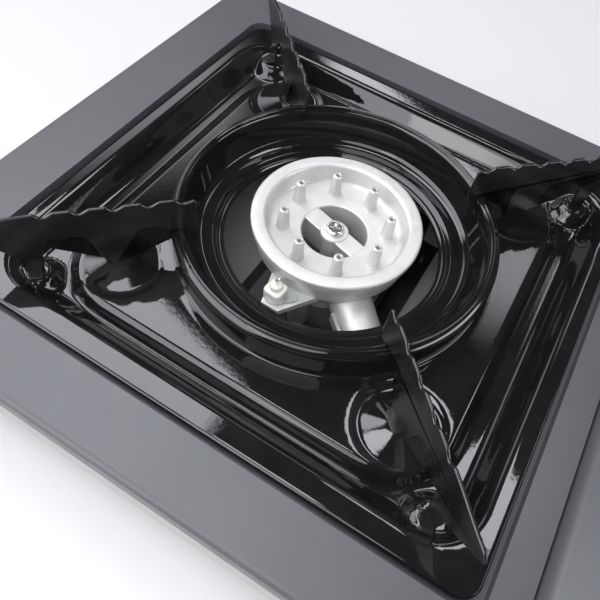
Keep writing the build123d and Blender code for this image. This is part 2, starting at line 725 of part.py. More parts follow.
# ---------------------------------------------------------------- burner
def jet():
    """Tapered hollow jet on the dish."""
    height = RIM_Z + JET_OVER - DISH_Z
    lean = degrees(atan2(JET_BASE_R - JET_TOP_R, height))
    return Pos(0, 0, DISH_Z) * extrude(Circle(JET_BASE_R), height, taper=lean)


def make_burner_cap():
    """Cast cap: flat rim, deep dish, eight jets and a bridge over the middle hole."""
    wall_low = DISH_R - DISH_DRAFT
    outline = Polyline(
        (CAP_HOLE_R, DISH_Z), (wall_low - 1.5, DISH_Z), (wall_low, DISH_Z + 1.5),
        (DISH_R, RIM_Z - 0.6), (DISH_R + 0.6, RIM_Z), (CAP_R - 0.8, RIM_Z),
        (CAP_R, RIM_Z - 0.8), (CAP_R, RIM_Z - CAP_RIM_T),
        (DISH_R + CAP_WALL, RIM_Z - CAP_RIM_T), (wall_low + CAP_WALL, DISH_UNDER),
        (CAP_HOLE_R, DISH_UNDER), close=True,
    )
    cap = revolve(Plane.XZ * make_face(outline.edges()), Axis.Z)
    bridge_top = DISH_Z - BRIDGE_DROP
    span = Box(2 * CAP_HOLE_R + 1.0, BRIDGE_W, bridge_top - DISH_UNDER)
    span = Pos(0, 0, (bridge_top + DISH_UNDER) / 2) * span
    cap += Rot(0, 0, BRIDGE_ANGLE) * span
    cap += Pos(0, 0, DISH_UNDER) * extrude(Circle(HUB_R), bridge_top + 0.8 - DISH_UNDER)
    for i in range(JET_COUNT):
        at = Rot(0, 0, JET_ANGLE + i * 360 / JET_COUNT) * Pos(JET_R_AT, 0, 0)
        cap += at * jet()
    for i in range(JET_COUNT):
        at = Rot(0, 0, JET_ANGLE + i * 360 / JET_COUNT) * Pos(JET_R_AT, 0, RIM_Z)
        cap -= at * Cylinder(JET_HOLE_R, 6 * DISH_DEPTH)
    cap -= Cylinder(SCREW_R, 4 * RIM_Z)
    return BURNER * cap


def mixing_tube(wall):
    """Venturi from the bell mouth through the throat to the burner, less a wall."""
    run = TUBE_END_R - TUBE_START_R
    fall = TUBE_START_Z - TUBE_END_Z
    length = hypot(run, fall)
    outline = Polyline(
        (0, 0), (TUBE_ROOT_R - wall, 0), (TUBE_ROOT_R - 0.8 - wall, length * 0.3),
        (TUBE_THROAT_R - wall, length * 0.78), (TUBE_THROAT_R - wall, length * 0.88),
        (TUBE_MOUTH_R - wall, length), (0, length), close=True,
    )
    tube = revolve(Plane.XZ * make_face(outline.edges()), Axis.Z)
    tilt = 90 + degrees(atan2(fall, run))
    return Rot(0, 0, TUBE_ANGLE) * (Pos(TUBE_START_R, 0, TUBE_START_Z) * (Rot(0, tilt, 0) * tube))


def bowl_outline(wall):
    """Outer shape of the base casting, or its chamber when a wall is taken off."""
    low = BASE_BOTTOM + wall
    r = BASE_R - 1.2 - wall
    return Polyline(
        (0, BASE_TOP - BASE_FLANGE_T), (r, BASE_TOP - BASE_FLANGE_T), (r - 1.0, 66.0),
        (r - 5.0, 58.0), (r - 12.0, low), (0, low), close=True,
    )


def make_burner_base():
    """Lower casting: bowl, chimney for the middle air, mixing tube, ear and stands."""
    bowl = revolve(Plane.XZ * make_face(bowl_outline(0).edges()), Axis.Z)
    flange = Pos(0, 0, BASE_TOP - BASE_FLANGE_T) * extrude(Circle(BASE_R), BASE_FLANGE_T)
    root = mixing_tube(0)
    ear_outline = Polyline(
        (EAR_LEFT, EAR_FROM_Y), (EAR_RIGHT, EAR_FROM_Y), (EAR_TIP[1], EAR_TO_Y),
        (EAR_TIP[0], EAR_TO_Y), close=True,
    )
    ear = make_face(ear_outline.edges())
    fin = block(*FIN_R, -FIN_AT - FIN_T, -FIN_AT, *FIN_Z)
    body = bowl + flange + root + Rot(0, 0, TUBE_ANGLE) * fin
    body += Pos(0, 0, EAR_Z - EAR_T) * extrude(ear, EAR_T)
    ceramic = Rot(0, 0, CERAMIC_ANGLE) * Pos(CERAMIC_R_AT, 0, EAR_Z)
    body -= ceramic * Cylinder(CERAMIC_R + SLOT_CLEAR, 4 * EAR_T)
    for side in (-1, 1):
        at = Pos(0, side * STAND_AT, CHANNEL_TOP)
        body += at * extrude(Circle(STAND_R), BASE_BOTTOM + 3.0 - CHANNEL_TOP)
    chamber = revolve(Plane.XZ * make_face(bowl_outline(BASE_WALL).edges()), Axis.Z)
    mouth_r = BASE_R - 1.2 - BASE_WALL
    mouth = extrude(Circle(mouth_r), BASE_FLANGE_T + 2.0)
    chamber += Pos(0, 0, BASE_TOP - BASE_FLANGE_T - 0.5) * mouth
    chimney_r = CAP_HOLE_R + CHIMNEY_WALL
    body -= chamber - Cylinder(chimney_r, 4 * RIM_Z)
    body -= mixing_tube(TUBE_WALL) - Cylinder(chimney_r, 4 * RIM_Z)
    body -= Pos(0, 0, DISH_UNDER) * extrude(Circle(chimney_r + 0.1), 2 * DISH_DEPTH)
    bore = Pos(0, 0, RIM_Z / 2) * Cylinder(CAP_HOLE_R, 3 * RIM_Z)
    web = Rot(0, 0, BRIDGE_ANGLE) * Pos(0, 0, (BASE_BOTTOM + DISH_UNDER) / 2) * Box(
        2 * CAP_HOLE_R, WEB_T, DISH_UNDER - BASE_BOTTOM
    )
    post = Pos(0, 0, BASE_BOTTOM) * extrude(Circle(POST_R), DISH_UNDER - BASE_BOTTOM)
    body -= bore - web - post
    body -= Pos(0, 0, DISH_UNDER - 12.0) * extrude(Circle(SCREW_R), 20.0)
    return BURNER * body


def make_burner_screw():
    """Crossed-head screw through the bridge into the post."""
    seat = DISH_Z - BRIDGE_DROP + 0.8
    head = Pos(0, 0, seat) * extrude(Circle(SCREW_HEAD_R), SCREW_HEAD_H)
    head = fillet(head.edges().group_by(Axis.Z)[-1], 1.2)
    for turn in (20, 110):
        cross = Rot(0, 0, turn) * Pos(0, 0, seat + SCREW_HEAD_H) * Box(4.6, 1.0, 2.0)
        head -= cross
    shank = Pos(0, 0, DISH_UNDER - 11.5) * extrude(Circle(SCREW_R), seat - DISH_UNDER + 11.5)
    return BURNER * (head + shank)


def make_burner_channel():
    """Black hat channel on the floor under the burner, with a large air hole."""
    half = CHANNEL_W / 2
    points = [
        (-half - CHANNEL_FOOT, FLOOR + CHANNEL_T), (-half, FLOOR + CHANNEL_T),
        (-half, CHANNEL_TOP), (half, CHANNEL_TOP), (half, FLOOR + CHANNEL_T),
        (half + CHANNEL_FOOT, FLOOR + CHANNEL_T),
    ]
    section = sheet_section(points, [1.6, 2.2, 2.2, 1.6], CHANNEL_T)
    channel = Pos(0, CHANNEL_L / 2, 0) * extrude(Plane.XZ * section, CHANNEL_L)
    channel -= Pos(0, 0, CHANNEL_TOP) * Cylinder(CAP_HOLE_R, 8 * CHANNEL_T)
    for x, y in screw_places()[:4]:
        channel -= Pos(x - BURNER_X, y, FLOOR) * Cylinder(CASE_SCREW_R, 6 * CHANNEL_T)
    return BURNER * channel


# ---------------------------------------------------------------- ignition
def make_electrode_ceramic():
    """White ceramic: round sleeve through the ear, square shoulder, round neck."""
    x, y, _ = polar(CERAMIC_R_AT, CERAMIC_ANGLE)
    seat = EAR_Z + STRAP_T
    sleeve = Pos(x, y, CERAMIC_LOW) * extrude(Circle(CERAMIC_R), seat - CERAMIC_LOW)
    shoulder = rounded(CERAMIC_S, CERAMIC_S, CERAMIC_S / 4, 0, CERAMIC_SHOULDER)
    shoulder = fillet(shoulder.edges().group_by(Axis.Z)[-1], CERAMIC_S / 8)
    shoulder = Pos(x, y, seat) * (Rot(0, 0, CERAMIC_ANGLE) * shoulder)
    neck = Pos(x, y, seat) * extrude(Circle(CERAMIC_NECK_R), CERAMIC_TOP - seat)
    neck = fillet(neck.edges().group_by(Axis.Z)[-1], CERAMIC_NECK_R / 3)
    return sleeve + shoulder + neck - Pos(x, y, CERAMIC_TOP) * Cylinder(PIN_R, 80.0)


def make_electrode_pin():
    """Spark pin: straight up the ceramic, then bent in to the flame slit."""
    x, y, _ = polar(CERAMIC_R_AT, CERAMIC_ANGLE)
    reach = CERAMIC_R_AT - CAP_R - SPARK_GAP
    stem = Pos(x, y, CERAMIC_LOW) * extrude(Circle(PIN_R), PIN_TOP - CERAMIC_LOW)
    inward = (cos(radians(CERAMIC_ANGLE + 180)), sin(radians(CERAMIC_ANGLE + 180)), 0)
    tip = rod(PIN_R, (x, y, PIN_TOP - PIN_R), inward, reach)
    return stem + tip


def make_electrode_strap():
    """Steel strap on the casting's ear that clamps the ceramic."""
    x, y, _ = polar(CERAMIC_R_AT, CERAMIC_ANGLE)
    ring = Pos(x, y) * Circle(CERAMIC_R + STRAP_ROOM)
    end = Pos(BURNER_X + STRAP_END[0], STRAP_END[1]) * Circle(STRAP_END_R)
    outline = make_hull([*ring.edges(), *end.edges()])
    strap = Pos(0, 0, EAR_Z) * extrude(outline, STRAP_T)
    return strap - Pos(x, y, EAR_Z) * Cylinder(CERAMIC_R, 8.0)


def lead_route():
    """Chosen points of the ignition lead, from the ceramic to the igniter."""
    x, y, _ = polar(CERAMIC_R_AT, CERAMIC_ANGLE)
    end = piezo_place()[1] - LEAD_END_IN
    return [
        (x, y, CERAMIC_LOW), (x, y, 48.0), (x, y - 11.0, 37.0), (x + 6.0, y - 34.0, 34.0),
        (x + 24.0, y - 55.0, 20.0), (x + 50.0, y - 66.0, LEAD_Z),
        (*CLIP_AT[0], LEAD_Z + 0.3), (*CLIP_AT[1], LEAD_Z),
        (PARTITION_X + 1.0, LEAD_CROSS_Y, LEAD_Z + 1.0),
        (end - 3.5, CAM_Y + 5.0, LEAD_RISE_Z), (end, CAM_Y, LEAD_RISE_Z + 10.0),
        (end, CAM_Y, AXIS_Z - PIEZO_S / 2),
    ]


def bend_radii(points):
    """Largest arcs that two neighbouring runs allow at each point."""
    radii = []
    for a, b, c in zip(points, points[1:], points[2:]):
        u = Vector(b) - Vector(a)
        v = Vector(c) - Vector(b)
        half_turn = radians(u.get_angle(v)) / 2
        radii.append(0.45 * min(u.length, v.length) / tan(half_turn))
    return radii


def make_ignition_lead():
    """High-voltage lead, held by the ceramic, two clips and the igniter."""
    points = lead_route()
    path = FilletPolyline(*points, radius=bend_radii(points))
    start = Plane(origin=points[0], z_dir=Vector(points[1]) - Vector(points[0]))
    return sweep(start * Circle(LEAD_R), path=path)


def make_lead_clips():
    """Two clips that hold the lead to the floor."""
    clips = []
    for x, y in CLIP_AT:
        body = block(
            x - CLIP_W / 2, x + CLIP_W / 2, y - CLIP_D / 2, y + CLIP_D / 2,
            FLOOR, LEAD_Z + LEAD_R + 1.6,
        )
        body -= rod(LEAD_R + 0.3, (x - 9.0, y + 0.9, LEAD_Z + 0.15), (1, -0.1, 0), 18.0)
        clips.append(body)
    return Compound(clips)


def piezo_place():
    """Left end of the igniter body and the plunger's guide face."""
    guide = AXIS_X - CAM_R - PLUNGER_GAP - CAM_RISE - 2.5
    return guide - PIEZO_L, guide


def make_piezo_body():
    """Igniter body with the bore for its plunger."""
    x0, x1 = piezo_place()
    half = PIEZO_S / 2
    body = block(x0, x1, CAM_Y - half, CAM_Y + half, AXIS_Z - half, AXIS_Z + half)
    body = fillet(body.edges().filter_by(Axis.X), 1.5)
    body -= rod(PLUNGER_R + RUN_CLEAR, (x0 + 3.0, CAM_Y, AXIS_Z), (1, 0, 0), PIEZO_L)
    return body


def make_piezo_bracket():
    """Bent plate that carries the igniter on the floor."""
    x0, x1 = piezo_place()
    low = AXIS_Z - PIEZO_S / 2
    mid = (x0 + x1) / 2 - 2.0
    front = CAM_Y - PIEZO_S / 2 + 1.0
    post = block(mid - 3.0, mid + 3.0, front, front + 1.2, FLOOR, low)
    shelf = block(mid - 3.0, mid + 3.0, front, front + 8.0, low - 1.2, low)
    foot = block(mid - 3.0, mid + 3.0, front, front + 9.0, FLOOR, FLOOR + 1.2)
    return post + shelf + foot


def make_piezo_plunger():
    """Plunger with a round end that follows the cam."""
    x0, _ = piezo_place()
    tip = AXIS_X - CAM_R - PLUNGER_GAP
    tail = x0 + 3.0 + CAM_RISE + 0.8
    stem = rod(PLUNGER_R, (tail, CAM_Y, AXIS_Z), (1, 0, 0), tip - PLUNGER_R - tail)
    ball = Pos(tip - PLUNGER_R, CAM_Y, AXIS_Z) * Sphere(PLUNGER_R)
    return stem + ball


# ---------------------------------------------------------------- gas side
def tube_mouth(extra):
    """Point on the mixing tube's axis, beyond its mouth."""
    slope = (TUBE_END_Z - TUBE_START_Z) / (TUBE_END_R - TUBE_START_R)
    return polar(TUBE_END_R + extra, TUBE_ANGLE, TUBE_END_Z + slope * extra)


def nozzle_line():
    """Tip, end and unit direction of the nozzle, on the mixing tube's axis."""
    tip = Vector(tube_mouth(NOZZLE_AT))
    end = Vector(tube_mouth(NOZZLE_AT + NOZZLE_L))
    return tip, end, (end - tip).normalized()


def make_gas_nozzle():
    """Brass nozzle that points into the mixing tube's mouth."""
    tip, end, axis = nozzle_line()
    length = (end - tip).length
    shoulder = 2.0
    nozzle = rod(NOZZLE_TIP_R, tip, axis, shoulder)
    nozzle += rod(NOZZLE_R, tip + axis * shoulder, axis, length - shoulder)
    hexagon = Plane(origin=tip + axis * 2.5 * shoulder, z_dir=axis) * RegularPolygon(NOZZLE_HEX_R, 6)
    nozzle += extrude(hexagon, NOZZLE_HEX_L)
    nozzle -= rod(NOZZLE_HOLE_R, tip, axis, length)
    return nozzle - rod(PIPE_R - PIPE_WALL, tip + axis * 2 * shoulder, axis, length)


def make_nozzle_bracket():
    """Plate that stands on the floor and holds the nozzle in line with the tube."""
    tip, end, axis = nozzle_line()
    at = Vector(tube_mouth(NOZZLE_AT + 5.0))
    top = at.Z + BRACKET_OVER
    plate = block(
        -BRACKET_T / 2, BRACKET_T / 2, -BRACKET_W / 2, BRACKET_W / 2, FLOOR, top,
    )
    foot = block(0, 7 * BRACKET_T, -BRACKET_W / 2, BRACKET_W / 2, FLOOR, FLOOR + BRACKET_T)
    bracket = Pos(at.X, at.Y, 0) * (Rot(0, 0, TUBE_ANGLE) * (plate + foot))
    return bracket - rod(NOZZLE_R, tip, axis, (end - tip).length) - make_gas_nozzle()


def make_gas_pipe():
    """Bent pipe from the regulator's outlet to the nozzle."""
    _, start, axis = nozzle_line()
    run = start + axis * 12.0
    outlet = (AXIS_X - REG_R - REG_OUTLET_L, REG_OUTLET_Y, PIPE_Z)
    corner = (PARTITION_X - 12.0, REG_OUTLET_Y, PIPE_Z)
    path = FilletPolyline(tuple(start), tuple(run), corner, outlet, radius=[9.0, 9.0])
    plane = Plane(origin=start, z_dir=axis)
    pipe = sweep(plane * Circle(PIPE_R), path=path)
    return pipe - sweep(plane * Circle(PIPE_R - PIPE_WALL), path=path)


def regulator_plane(y):
    """Plane across the cartridge's axis, seen from the front."""
    return Plane(origin=(AXIS_X, y, AXIS_Z), x_dir=(1, 0, 0), z_dir=(0, -1, 0))


def regulator_flange():
    """Flange against the front of the plate, with its two screw holes."""
    plane = regulator_plane(BULKHEAD_Y)
    flange = extrude(plane * SlotOverall(FLANGE_L, FLANGE_W), FLANGE_T)
    holes = Circle(REG_SCREW_R + SCREW_PLAY)
    for side in (-1, 1):
        flange -= extrude(plane * Pos(side * REG_SCREW_AT, 0) * holes, FLANGE_T)
    return flange


def make_regulator_screws():
    """Two screws that hold the regulator to the plate, heads in the bay's front."""
    screws = []
    plane = regulator_plane(BULKHEAD_Y - FLANGE_T)
    for side in (-1, 1):
        place = plane * Pos(side * REG_SCREW_AT, 0)
        head = extrude(place * Circle(REG_SCREW_HEAD_R), 2.0, taper=10)
        shank = extrude(place * Circle(REG_SCREW_R), -(FLANGE_T + BULKHEAD_T + 1.5))
        screws.append(head + shank)
    return Compound(screws)


def make_socket_seal():
    """Rubber ring in the socket, against the cartridge's neck."""
    face = BULKHEAD_Y + BULKHEAD_T + SOCKET_L - SEAL_DEPTH
    ring = rod(SEAL_R, (AXIS_X, face, AXIS_Z), (0, 1, 0), SEAL_T)
    ring = fillet(ring.edges().group_by(Axis.Y)[-1], 0.8)
    return ring - rod(SOCKET_BORE_R, (AXIS_X, face - 1.0, AXIS_Z), (0, 1, 0), 3 * SEAL_T)


def make_regulator_body():
    """Die-cast regulator: barrel, socket for the cartridge, outlet and shaft boss."""
    plate_back = BULKHEAD_Y + BULKHEAD_T
    centre = (AXIS_X, REG_FRONT_Y, AXIS_Z)
    barrel = rod(REG_R, centre, (0, 1, 0), BULKHEAD_Y - REG_FRONT_Y)
    socket = rod(SOCKET_R, (AXIS_X, BULKHEAD_Y, AXIS_Z), (0, 1, 0), BULKHEAD_T + SOCKET_L)
    boss_start = (AXIS_X, REG_FRONT_Y - REG_BOSS_L, AXIS_Z)
    boss = rod(SHAFT_R + REG_BOSS_WALL, boss_start, (0, 1, 0), REG_BOSS_L)
    outlet_start = (AXIS_X - REG_R - REG_OUTLET_L, REG_OUTLET_Y, PIPE_Z)
    outlet = rod(REG_OUTLET_R, outlet_start, (1, 0, 0), 2 * REG_OUTLET_L)
    neck_start = (AXIS_X, DIAPHRAGM_Y, AXIS_Z)
    neck = rod(REG_NECK_R, neck_start, (0, 0, -1), REG_R + REG_NECK_OVER)
    body = barrel + socket + boss + outlet + neck + regulator_flange()
    body -= rod(SOCKET_BORE_R, (AXIS_X, plate_back, AXIS_Z), (0, 1, 0), SOCKET_L + BORE_OVER)
    seal_at = (AXIS_X, plate_back + SOCKET_L - SEAL_DEPTH, AXIS_Z)
    body -= rod(SEAL_R, seal_at, (0, 1, 0), SEAL_DEPTH + BORE_OVER)
    shaft_start = (AXIS_X, REG_FRONT_Y - REG_BOSS_L - BORE_OVER, AXIS_Z)
    shaft_run = REG_BOSS_L + SHAFT_IN_REG + 3 * BORE_OVER
    body -= rod(SHAFT_R + RUN_CLEAR, shaft_start, (0, 1, 0), shaft_run)
    return body


def make_diaphragm_housing():
    """Round diaphragm housing under the regulator, two pressed cups with a rim."""
    top = AXIS_Z - REG_R - REG_NECK_OVER
    rim_z = top - DIAPHRAGM_H / 2
    outline = Polyline(
        (0, top), (REG_NECK_R, top), (DIAPHRAGM_R - 3.0, rim_z + 1.2),
        (DIAPHRAGM_R, rim_z + 1.2), (DIAPHRAGM_R, rim_z - 1.2), (DIAPHRAGM_R - 3.0, rim_z - 1.2),
        (DIAPHRAGM_R - 8.0, top - DIAPHRAGM_H), (0, top - DIAPHRAGM_H), close=True,
    )
    housing = revolve(Plane.XZ * make_face(outline.edges()), Axis.Z)
    return Pos(AXIS_X, DIAPHRAGM_Y, 0) * housing


def make_bay_bulkhead():
    """Plate across the bay that carries the regulator, with the collar's notch guide."""
    x0 = PARTITION_X + PARTITION_T
    x1 = case_wall_x(FLOOR) - CASE_BEND_R
    plate = block(x0, x1, BULKHEAD_Y, BULKHEAD_Y + BULKHEAD_T, FLOOR, BULKHEAD_TOP)
    plate -= block(
        x0, BAY_EDGE + 4.0, BULKHEAD_Y, BULKHEAD_Y + BULKHEAD_T, BULKHEAD_SHOULDER, BULKHEAD_TOP
    )
    foot = block(x0 + 4.0, x1 - 6.0, BULKHEAD_Y, BULKHEAD_Y + 10.0, FLOOR, FLOOR + BULKHEAD_T)
    guide = block(
        AXIS_X - 1.5, AXIS_X + 1.5, BULKHEAD_Y + BULKHEAD_T, BULKHEAD_Y + 8.0,
        AXIS_Z + SOCKET_R + 1.0, BULKHEAD_TOP,
    )
    plate = plate + foot + guide
    plate -= rod(SOCKET_R, (AXIS_X, BULKHEAD_Y - 5.0, AXIS_Z), (0, 1, 0), 12.0)
    for side in (-1, 1):
        hole = regulator_plane(BULKHEAD_Y + 5.0) * Pos(side * REG_SCREW_AT, 0)
        plate -= extrude(hole * Circle(REG_SCREW_R + SCREW_PLAY), 10.0)
    bar_room = GUIDE_CLEAR + 0.6
    plate -= block(
        x0 - 1.0, BAR_X + BAR_T + bar_room, BULKHEAD_Y - 2.0, BULKHEAD_Y + 12.0,
        BAR_LOW - bar_room, BAR_LOW + BAR_H + bar_room,
    )
    return plate


def make_bay_partition():
    """Steel wall between burner and cartridge, with slots for pipe, pin and air."""
    y1 = case_wall_y(FLOOR) - CASE_BEND_R
    wall = block(PARTITION_X, PARTITION_X + PARTITION_T, -y1, y1, FLOOR, PLATE_TOP - LIP_H)
    fold = BAY_EDGE - PLATE_T
    fold_low = PLATE_TOP - LIP_H
    wall += block(PARTITION_X, fold, -y1, y1, fold_low - PARTITION_T, fold_low)
    wall += block(fold - PARTITION_T, fold, -y1, y1, fold_low - PARTITION_T, fold_low + 7.0)
    wall -= rod(PIPE_R + 1.0, (PARTITION_X - 5.0, REG_OUTLET_Y, PIPE_Z), (1, 0, 0), 12.0)
    wall -= rod(LEAD_R + 1.2, (PARTITION_X - 5.0, LEAD_CROSS_Y, LEAD_Z + 1.0), (1, 0, 0), 12.0)
    pin_y, pin_z = cam_pin_place()
    room = CAM_PIN_R + 0.6
    wall -= block(
        PARTITION_X - 5.0, PARTITION_X + 5.0, pin_y - CARRIAGE_TRAVEL - room, pin_y + room,
        pin_z - room, pin_z + room,
    )
    for y in spread(WALL_VENT_COUNT, WALL_VENT_PITCH):
        start = (PARTITION_X - 2 * PARTITION_T, y + WALL_VENT_BACK, WALL_VENT_Z)
        side = Plane(origin=start, x_dir=(0, 1, 0), z_dir=(1, 0, 0))
        wall -= extrude(side * SlotOverall(WALL_VENT_L, VENT_W), 4 * PARTITION_T)
    return wall


def make_cartridge_saddles():
    """Two curved rests for the cartridge on the bay's floor."""
    saddles = []
    low = AXIS_Z - CARTRIDGE_R
    for y in SADDLE_AT:
        rest = block(
            AXIS_X - SADDLE_W / 2, AXIS_X + SADDLE_W / 2, y - SADDLE_L / 2, y + SADDLE_L / 2,
            FLOOR, low + SADDLE_HORN,
        )
        rest -= rod(CARTRIDGE_R, (AXIS_X, y - SADDLE_L, AXIS_Z), (0, 1, 0), 2 * SADDLE_L)
        rest -= Pos(AXIS_X, y, FLOOR) * Cylinder(CASE_SCREW_R, 30.0)
        saddles.append(rest)
    return saddles


# ---------------------------------------------------------------- knob
def make_knob():
    """Dial knob: skirt, domed face and a grip bar."""
    base = rod(KNOB_R, (AXIS_X, -KNOB_BACK, AXIS_Z), (0, -1, 0), KNOB_SKIRT)
    base = fillet(base.edges().group_by(Axis.Y)[0], 1.5)
    depth = KNOB_OUT - KNOB_BACK
    plane = regulator_plane(-KNOB_BACK)
    drum = extrude(plane * Circle(KNOB_R - 5.0), KNOB_SKIRT + 2.0, taper=6)
    grip = extrude(plane * SlotOverall(2 * KNOB_R - 4.0, GRIP_W, rotation=90), depth, taper=4)
    knob = base + drum + grip
    start = (AXIS_X, -KNOB_BACK + BORE_OVER, AXIS_Z)
    bore = rod(SHAFT_R, start, (0, -1, 0), SHAFT_IN_KNOB + BORE_OVER)
    return knob - (bore - shaft_flat())


def shaft_flat():
    """Half-space block that gives the shaft its flat."""
    z = AXIS_Z + SHAFT_R - SHAFT_FLAT
    side = 2 * SHAFT_R
    front = -KNOB_BACK - SHAFT_IN_KNOB - BORE_OVER
    return block(AXIS_X - side, AXIS_X + side, front, -KNOB_BACK, z, z + side)


def make_valve_shaft():
    """Steel shaft from the knob into the regulator, flatted in the knob."""
    end = REG_FRONT_Y + SHAFT_IN_REG
    front = -KNOB_BACK - SHAFT_IN_KNOB
    shaft = rod(SHAFT_R, (AXIS_X, front, AXIS_Z), (0, 1, 0), end - front)
    return shaft - shaft_flat()


def cam_point(radius, angle):
    """Point of the cam's outline round the shaft."""
    return (radius * cos(radians(angle)), radius * sin(radians(angle)))


def make_ignition_cam():
    """Spiral cam: its radius grows evenly over the knob's turn, then falls back."""
    steps = 10
    ramp = []
    for i in range(steps + 1):
        turned = 1.1 * KNOB_TURN * i / steps
        radius = CAM_R + CAM_RISE * turned / KNOB_TURN
        ramp.append(cam_point(radius, 180 + turned))
    back = cam_point(CAM_R * 0.8, 325)
    start = cam_point(CAM_R, 140)
    lines = [
        ThreePointArc(start, cam_point(CAM_R, 160), ramp[0]),
        Spline(*ramp),
        Line(ramp[-1], back),
        ThreePointArc(back, cam_point(CAM_R, 45), start),
    ]
    face = make_face([edge for line in lines for edge in line.edges()])
    plane = Plane(origin=(AXIS_X, CAM_Y - CAM_T / 2, AXIS_Z), x_dir=(1, 0, 0), z_dir=(0, 1, 0))
    cam = extrude(plane * face, CAM_T)
    return cam - make_valve_shaft()


# ---------------------------------------------------------------- lid
def lid_points():
    """Chain of the lid's outer skin, from the left skirt over the arch to the hinge."""
    left = BAY_EDGE + LID_GAP
    right = BODY_W / 2 - 0.4
    return [
        (left, LID_LOW), (left, LID_TOP - 8.0), (left + 20.0, LID_TOP),
        (right - 21.0, LID_TOP), (right, LID_TOP - 14.5), (right, HINGE_Z),
    ]


def make_lid():
    """Domed lid with closed ends and its hinge barrels."""
    points = lid_points()
    skin = sheet_section(points, LID_BENDS, LID_T)
    lid = Pos(0, LID_END, 0) * extrude(Plane.XZ * skin, 2 * LID_END)
    outer = FilletPolyline(*points, radius=LID_BENDS)
    end_low = LID_LOW - 3.0
    closing = Polyline(
        points[-1], (HINGE_X, HINGE_Z), (HINGE_X, end_low), (points[0][0], end_low), points[0]
    )
    panel = make_face([*outer.edges(), *closing.edges()])
    inner_face = case_wall_y(PLATE_UNDER) + LID_END_GAP
    for side in (-1, 1):
        end = extrude(Plane.XZ * panel, LID_END - inner_face)
        shift = LID_END if side > 0 else -inner_face
        lid += Pos(0, shift, 0) * end
    for y in LID_BARRELS_AT:
        start = (HINGE_X, y - LID_BARREL_L / 2, HINGE_Z)
        lid += rod(BARREL_R, start, (0, 1, 0), LID_BARREL_L)
    bore = rod(HINGE_PIN_R + 0.06, (HINGE_X, -BODY_D, HINGE_Z), (0, 1, 0), 2 * BODY_D)
    lid -= bore
    for y in CASE_BARRELS_AT:
        room = CASE_BARREL_L / 2 + BARREL_GAP
        lid -= rod(BARREL_R + 0.35, (HINGE_X, y - room, HINGE_Z), (0, 1, 0), 2 * room)
    return lid


def make_hinge_pin():
    """Long pin through the barrels."""
    length = CASE_BARRELS_AT[-1] - CASE_BARRELS_AT[0] + CASE_BARREL_L
    return rod(HINGE_PIN_R, (HINGE_X, -length / 2, HINGE_Z), (0, 1, 0), length)


# ---------------------------------------------------------------- lock lever and carriage
def cam_pin_place():
    """Carriage pin at rest: at the lever slot's low end."""
    y = (LEVER_Y0 + LEVER_Y1) / 2 + CARRIAGE_TRAVEL / 2
    return y, LEVER_TOP - LEVER_H + 4.0


def make_lock_lever():
    """Lever plate with its inclined slot and the stem through the front."""
    low = LEVER_TOP - LEVER_H
    plate = block(LEVER_X, LEVER_X + LEVER_T, LEVER_Y0, LEVER_Y1, low, LEVER_TOP)
    stem = block(
        LEVER_X, LEVER_X + LEVER_T, -KNOB_OUT + 6.0, LEVER_Y0 + 1.0, STEM_TOP - STEM_H, STEM_TOP
    )
    y, z = cam_pin_place()
    ends = Vector(0, y, z), Vector(0, y - CARRIAGE_TRAVEL, z + LEVER_TRAVEL)
    run = ends[1] - ends[0]
    width = 2 * (CAM_PIN_R + CAM_SLOT_CLEAR)
    middle = (ends[0] + ends[1]) * 0.5
    plane = Plane(
        origin=(LEVER_X - 5.0, middle.Y, middle.Z), x_dir=(0, run.Y, run.Z), z_dir=(1, 0, 0)
    )
    slot = extrude(plane * SlotOverall(run.length + width, width), 15.0)
    return plate + stem - slot


def make_lever_grip():
    """Moulded grip on the lever's stem."""
    y0, y1 = -KNOB_OUT + 1.0, -KNOB_BACK
    mid = LEVER_X + LEVER_T / 2
    z = STEM_TOP - STEM_H / 2
    half = GRIP_HALF
    grip = block(mid - half, mid + half, y0, y1, z - GRIP_SIZE / 2, z + GRIP_SIZE / 2)
    grip = fillet(grip.edges().filter_by(Axis.Y), 2.5)
    for rise_by in spread(3, RIB_PITCH):
        low = z + rise_by - RIB_GROOVE / 2
        grip -= block(mid - half - 1, mid + half + 1, y0 - 1, y0 + 1, low, low + RIB_GROOVE)
    hole = block(LEVER_X, LEVER_X + LEVER_T, -KNOB_OUT + 6.0, 0, STEM_TOP - STEM_H, STEM_TOP)
    return grip - hole


def make_lever_guide():
    """Bracket with two grooved posts in which the lever plate slides."""
    mid = LEVER_X + LEVER_T / 2
    half = LEVER_T / 2 + GUIDE_CLEAR + GUIDE_WALL
    base = block(
        mid - GUIDE_BASE_W / 2, mid + GUIDE_BASE_W / 2, LEVER_Y0 + GUIDE_CLEAR,
        LEVER_Y1 + GUIDE_REACH, FLOOR, FLOOR + GUIDE_BASE_T,
    )
    rear = block(
        mid - half, mid + half, LEVER_Y1 - GUIDE_REACH, LEVER_Y1 + GUIDE_CLEAR + GUIDE_WALL,
        FLOOR, LEVER_TOP,
    )
    front = block(
        mid - half, mid + half, LEVER_Y0 - GUIDE_CLEAR - GUIDE_WALL, LEVER_Y0 + GUIDE_REACH,
        FLOOR + GUIDE_BASE_T, STEM_TOP - STEM_H - LEVER_TRAVEL - GUIDE_WALL,
    )
    path = block(
        LEVER_X - GUIDE_CLEAR, LEVER_X + LEVER_T + GUIDE_CLEAR, LEVER_Y0 - GUIDE_CLEAR,
        LEVER_Y1 + GUIDE_CLEAR, LEVER_TOP - LEVER_H - LEVER_TRAVEL - GUIDE_CLEAR, LEVER_TOP + 1,
    )
    return base + rear + front - path


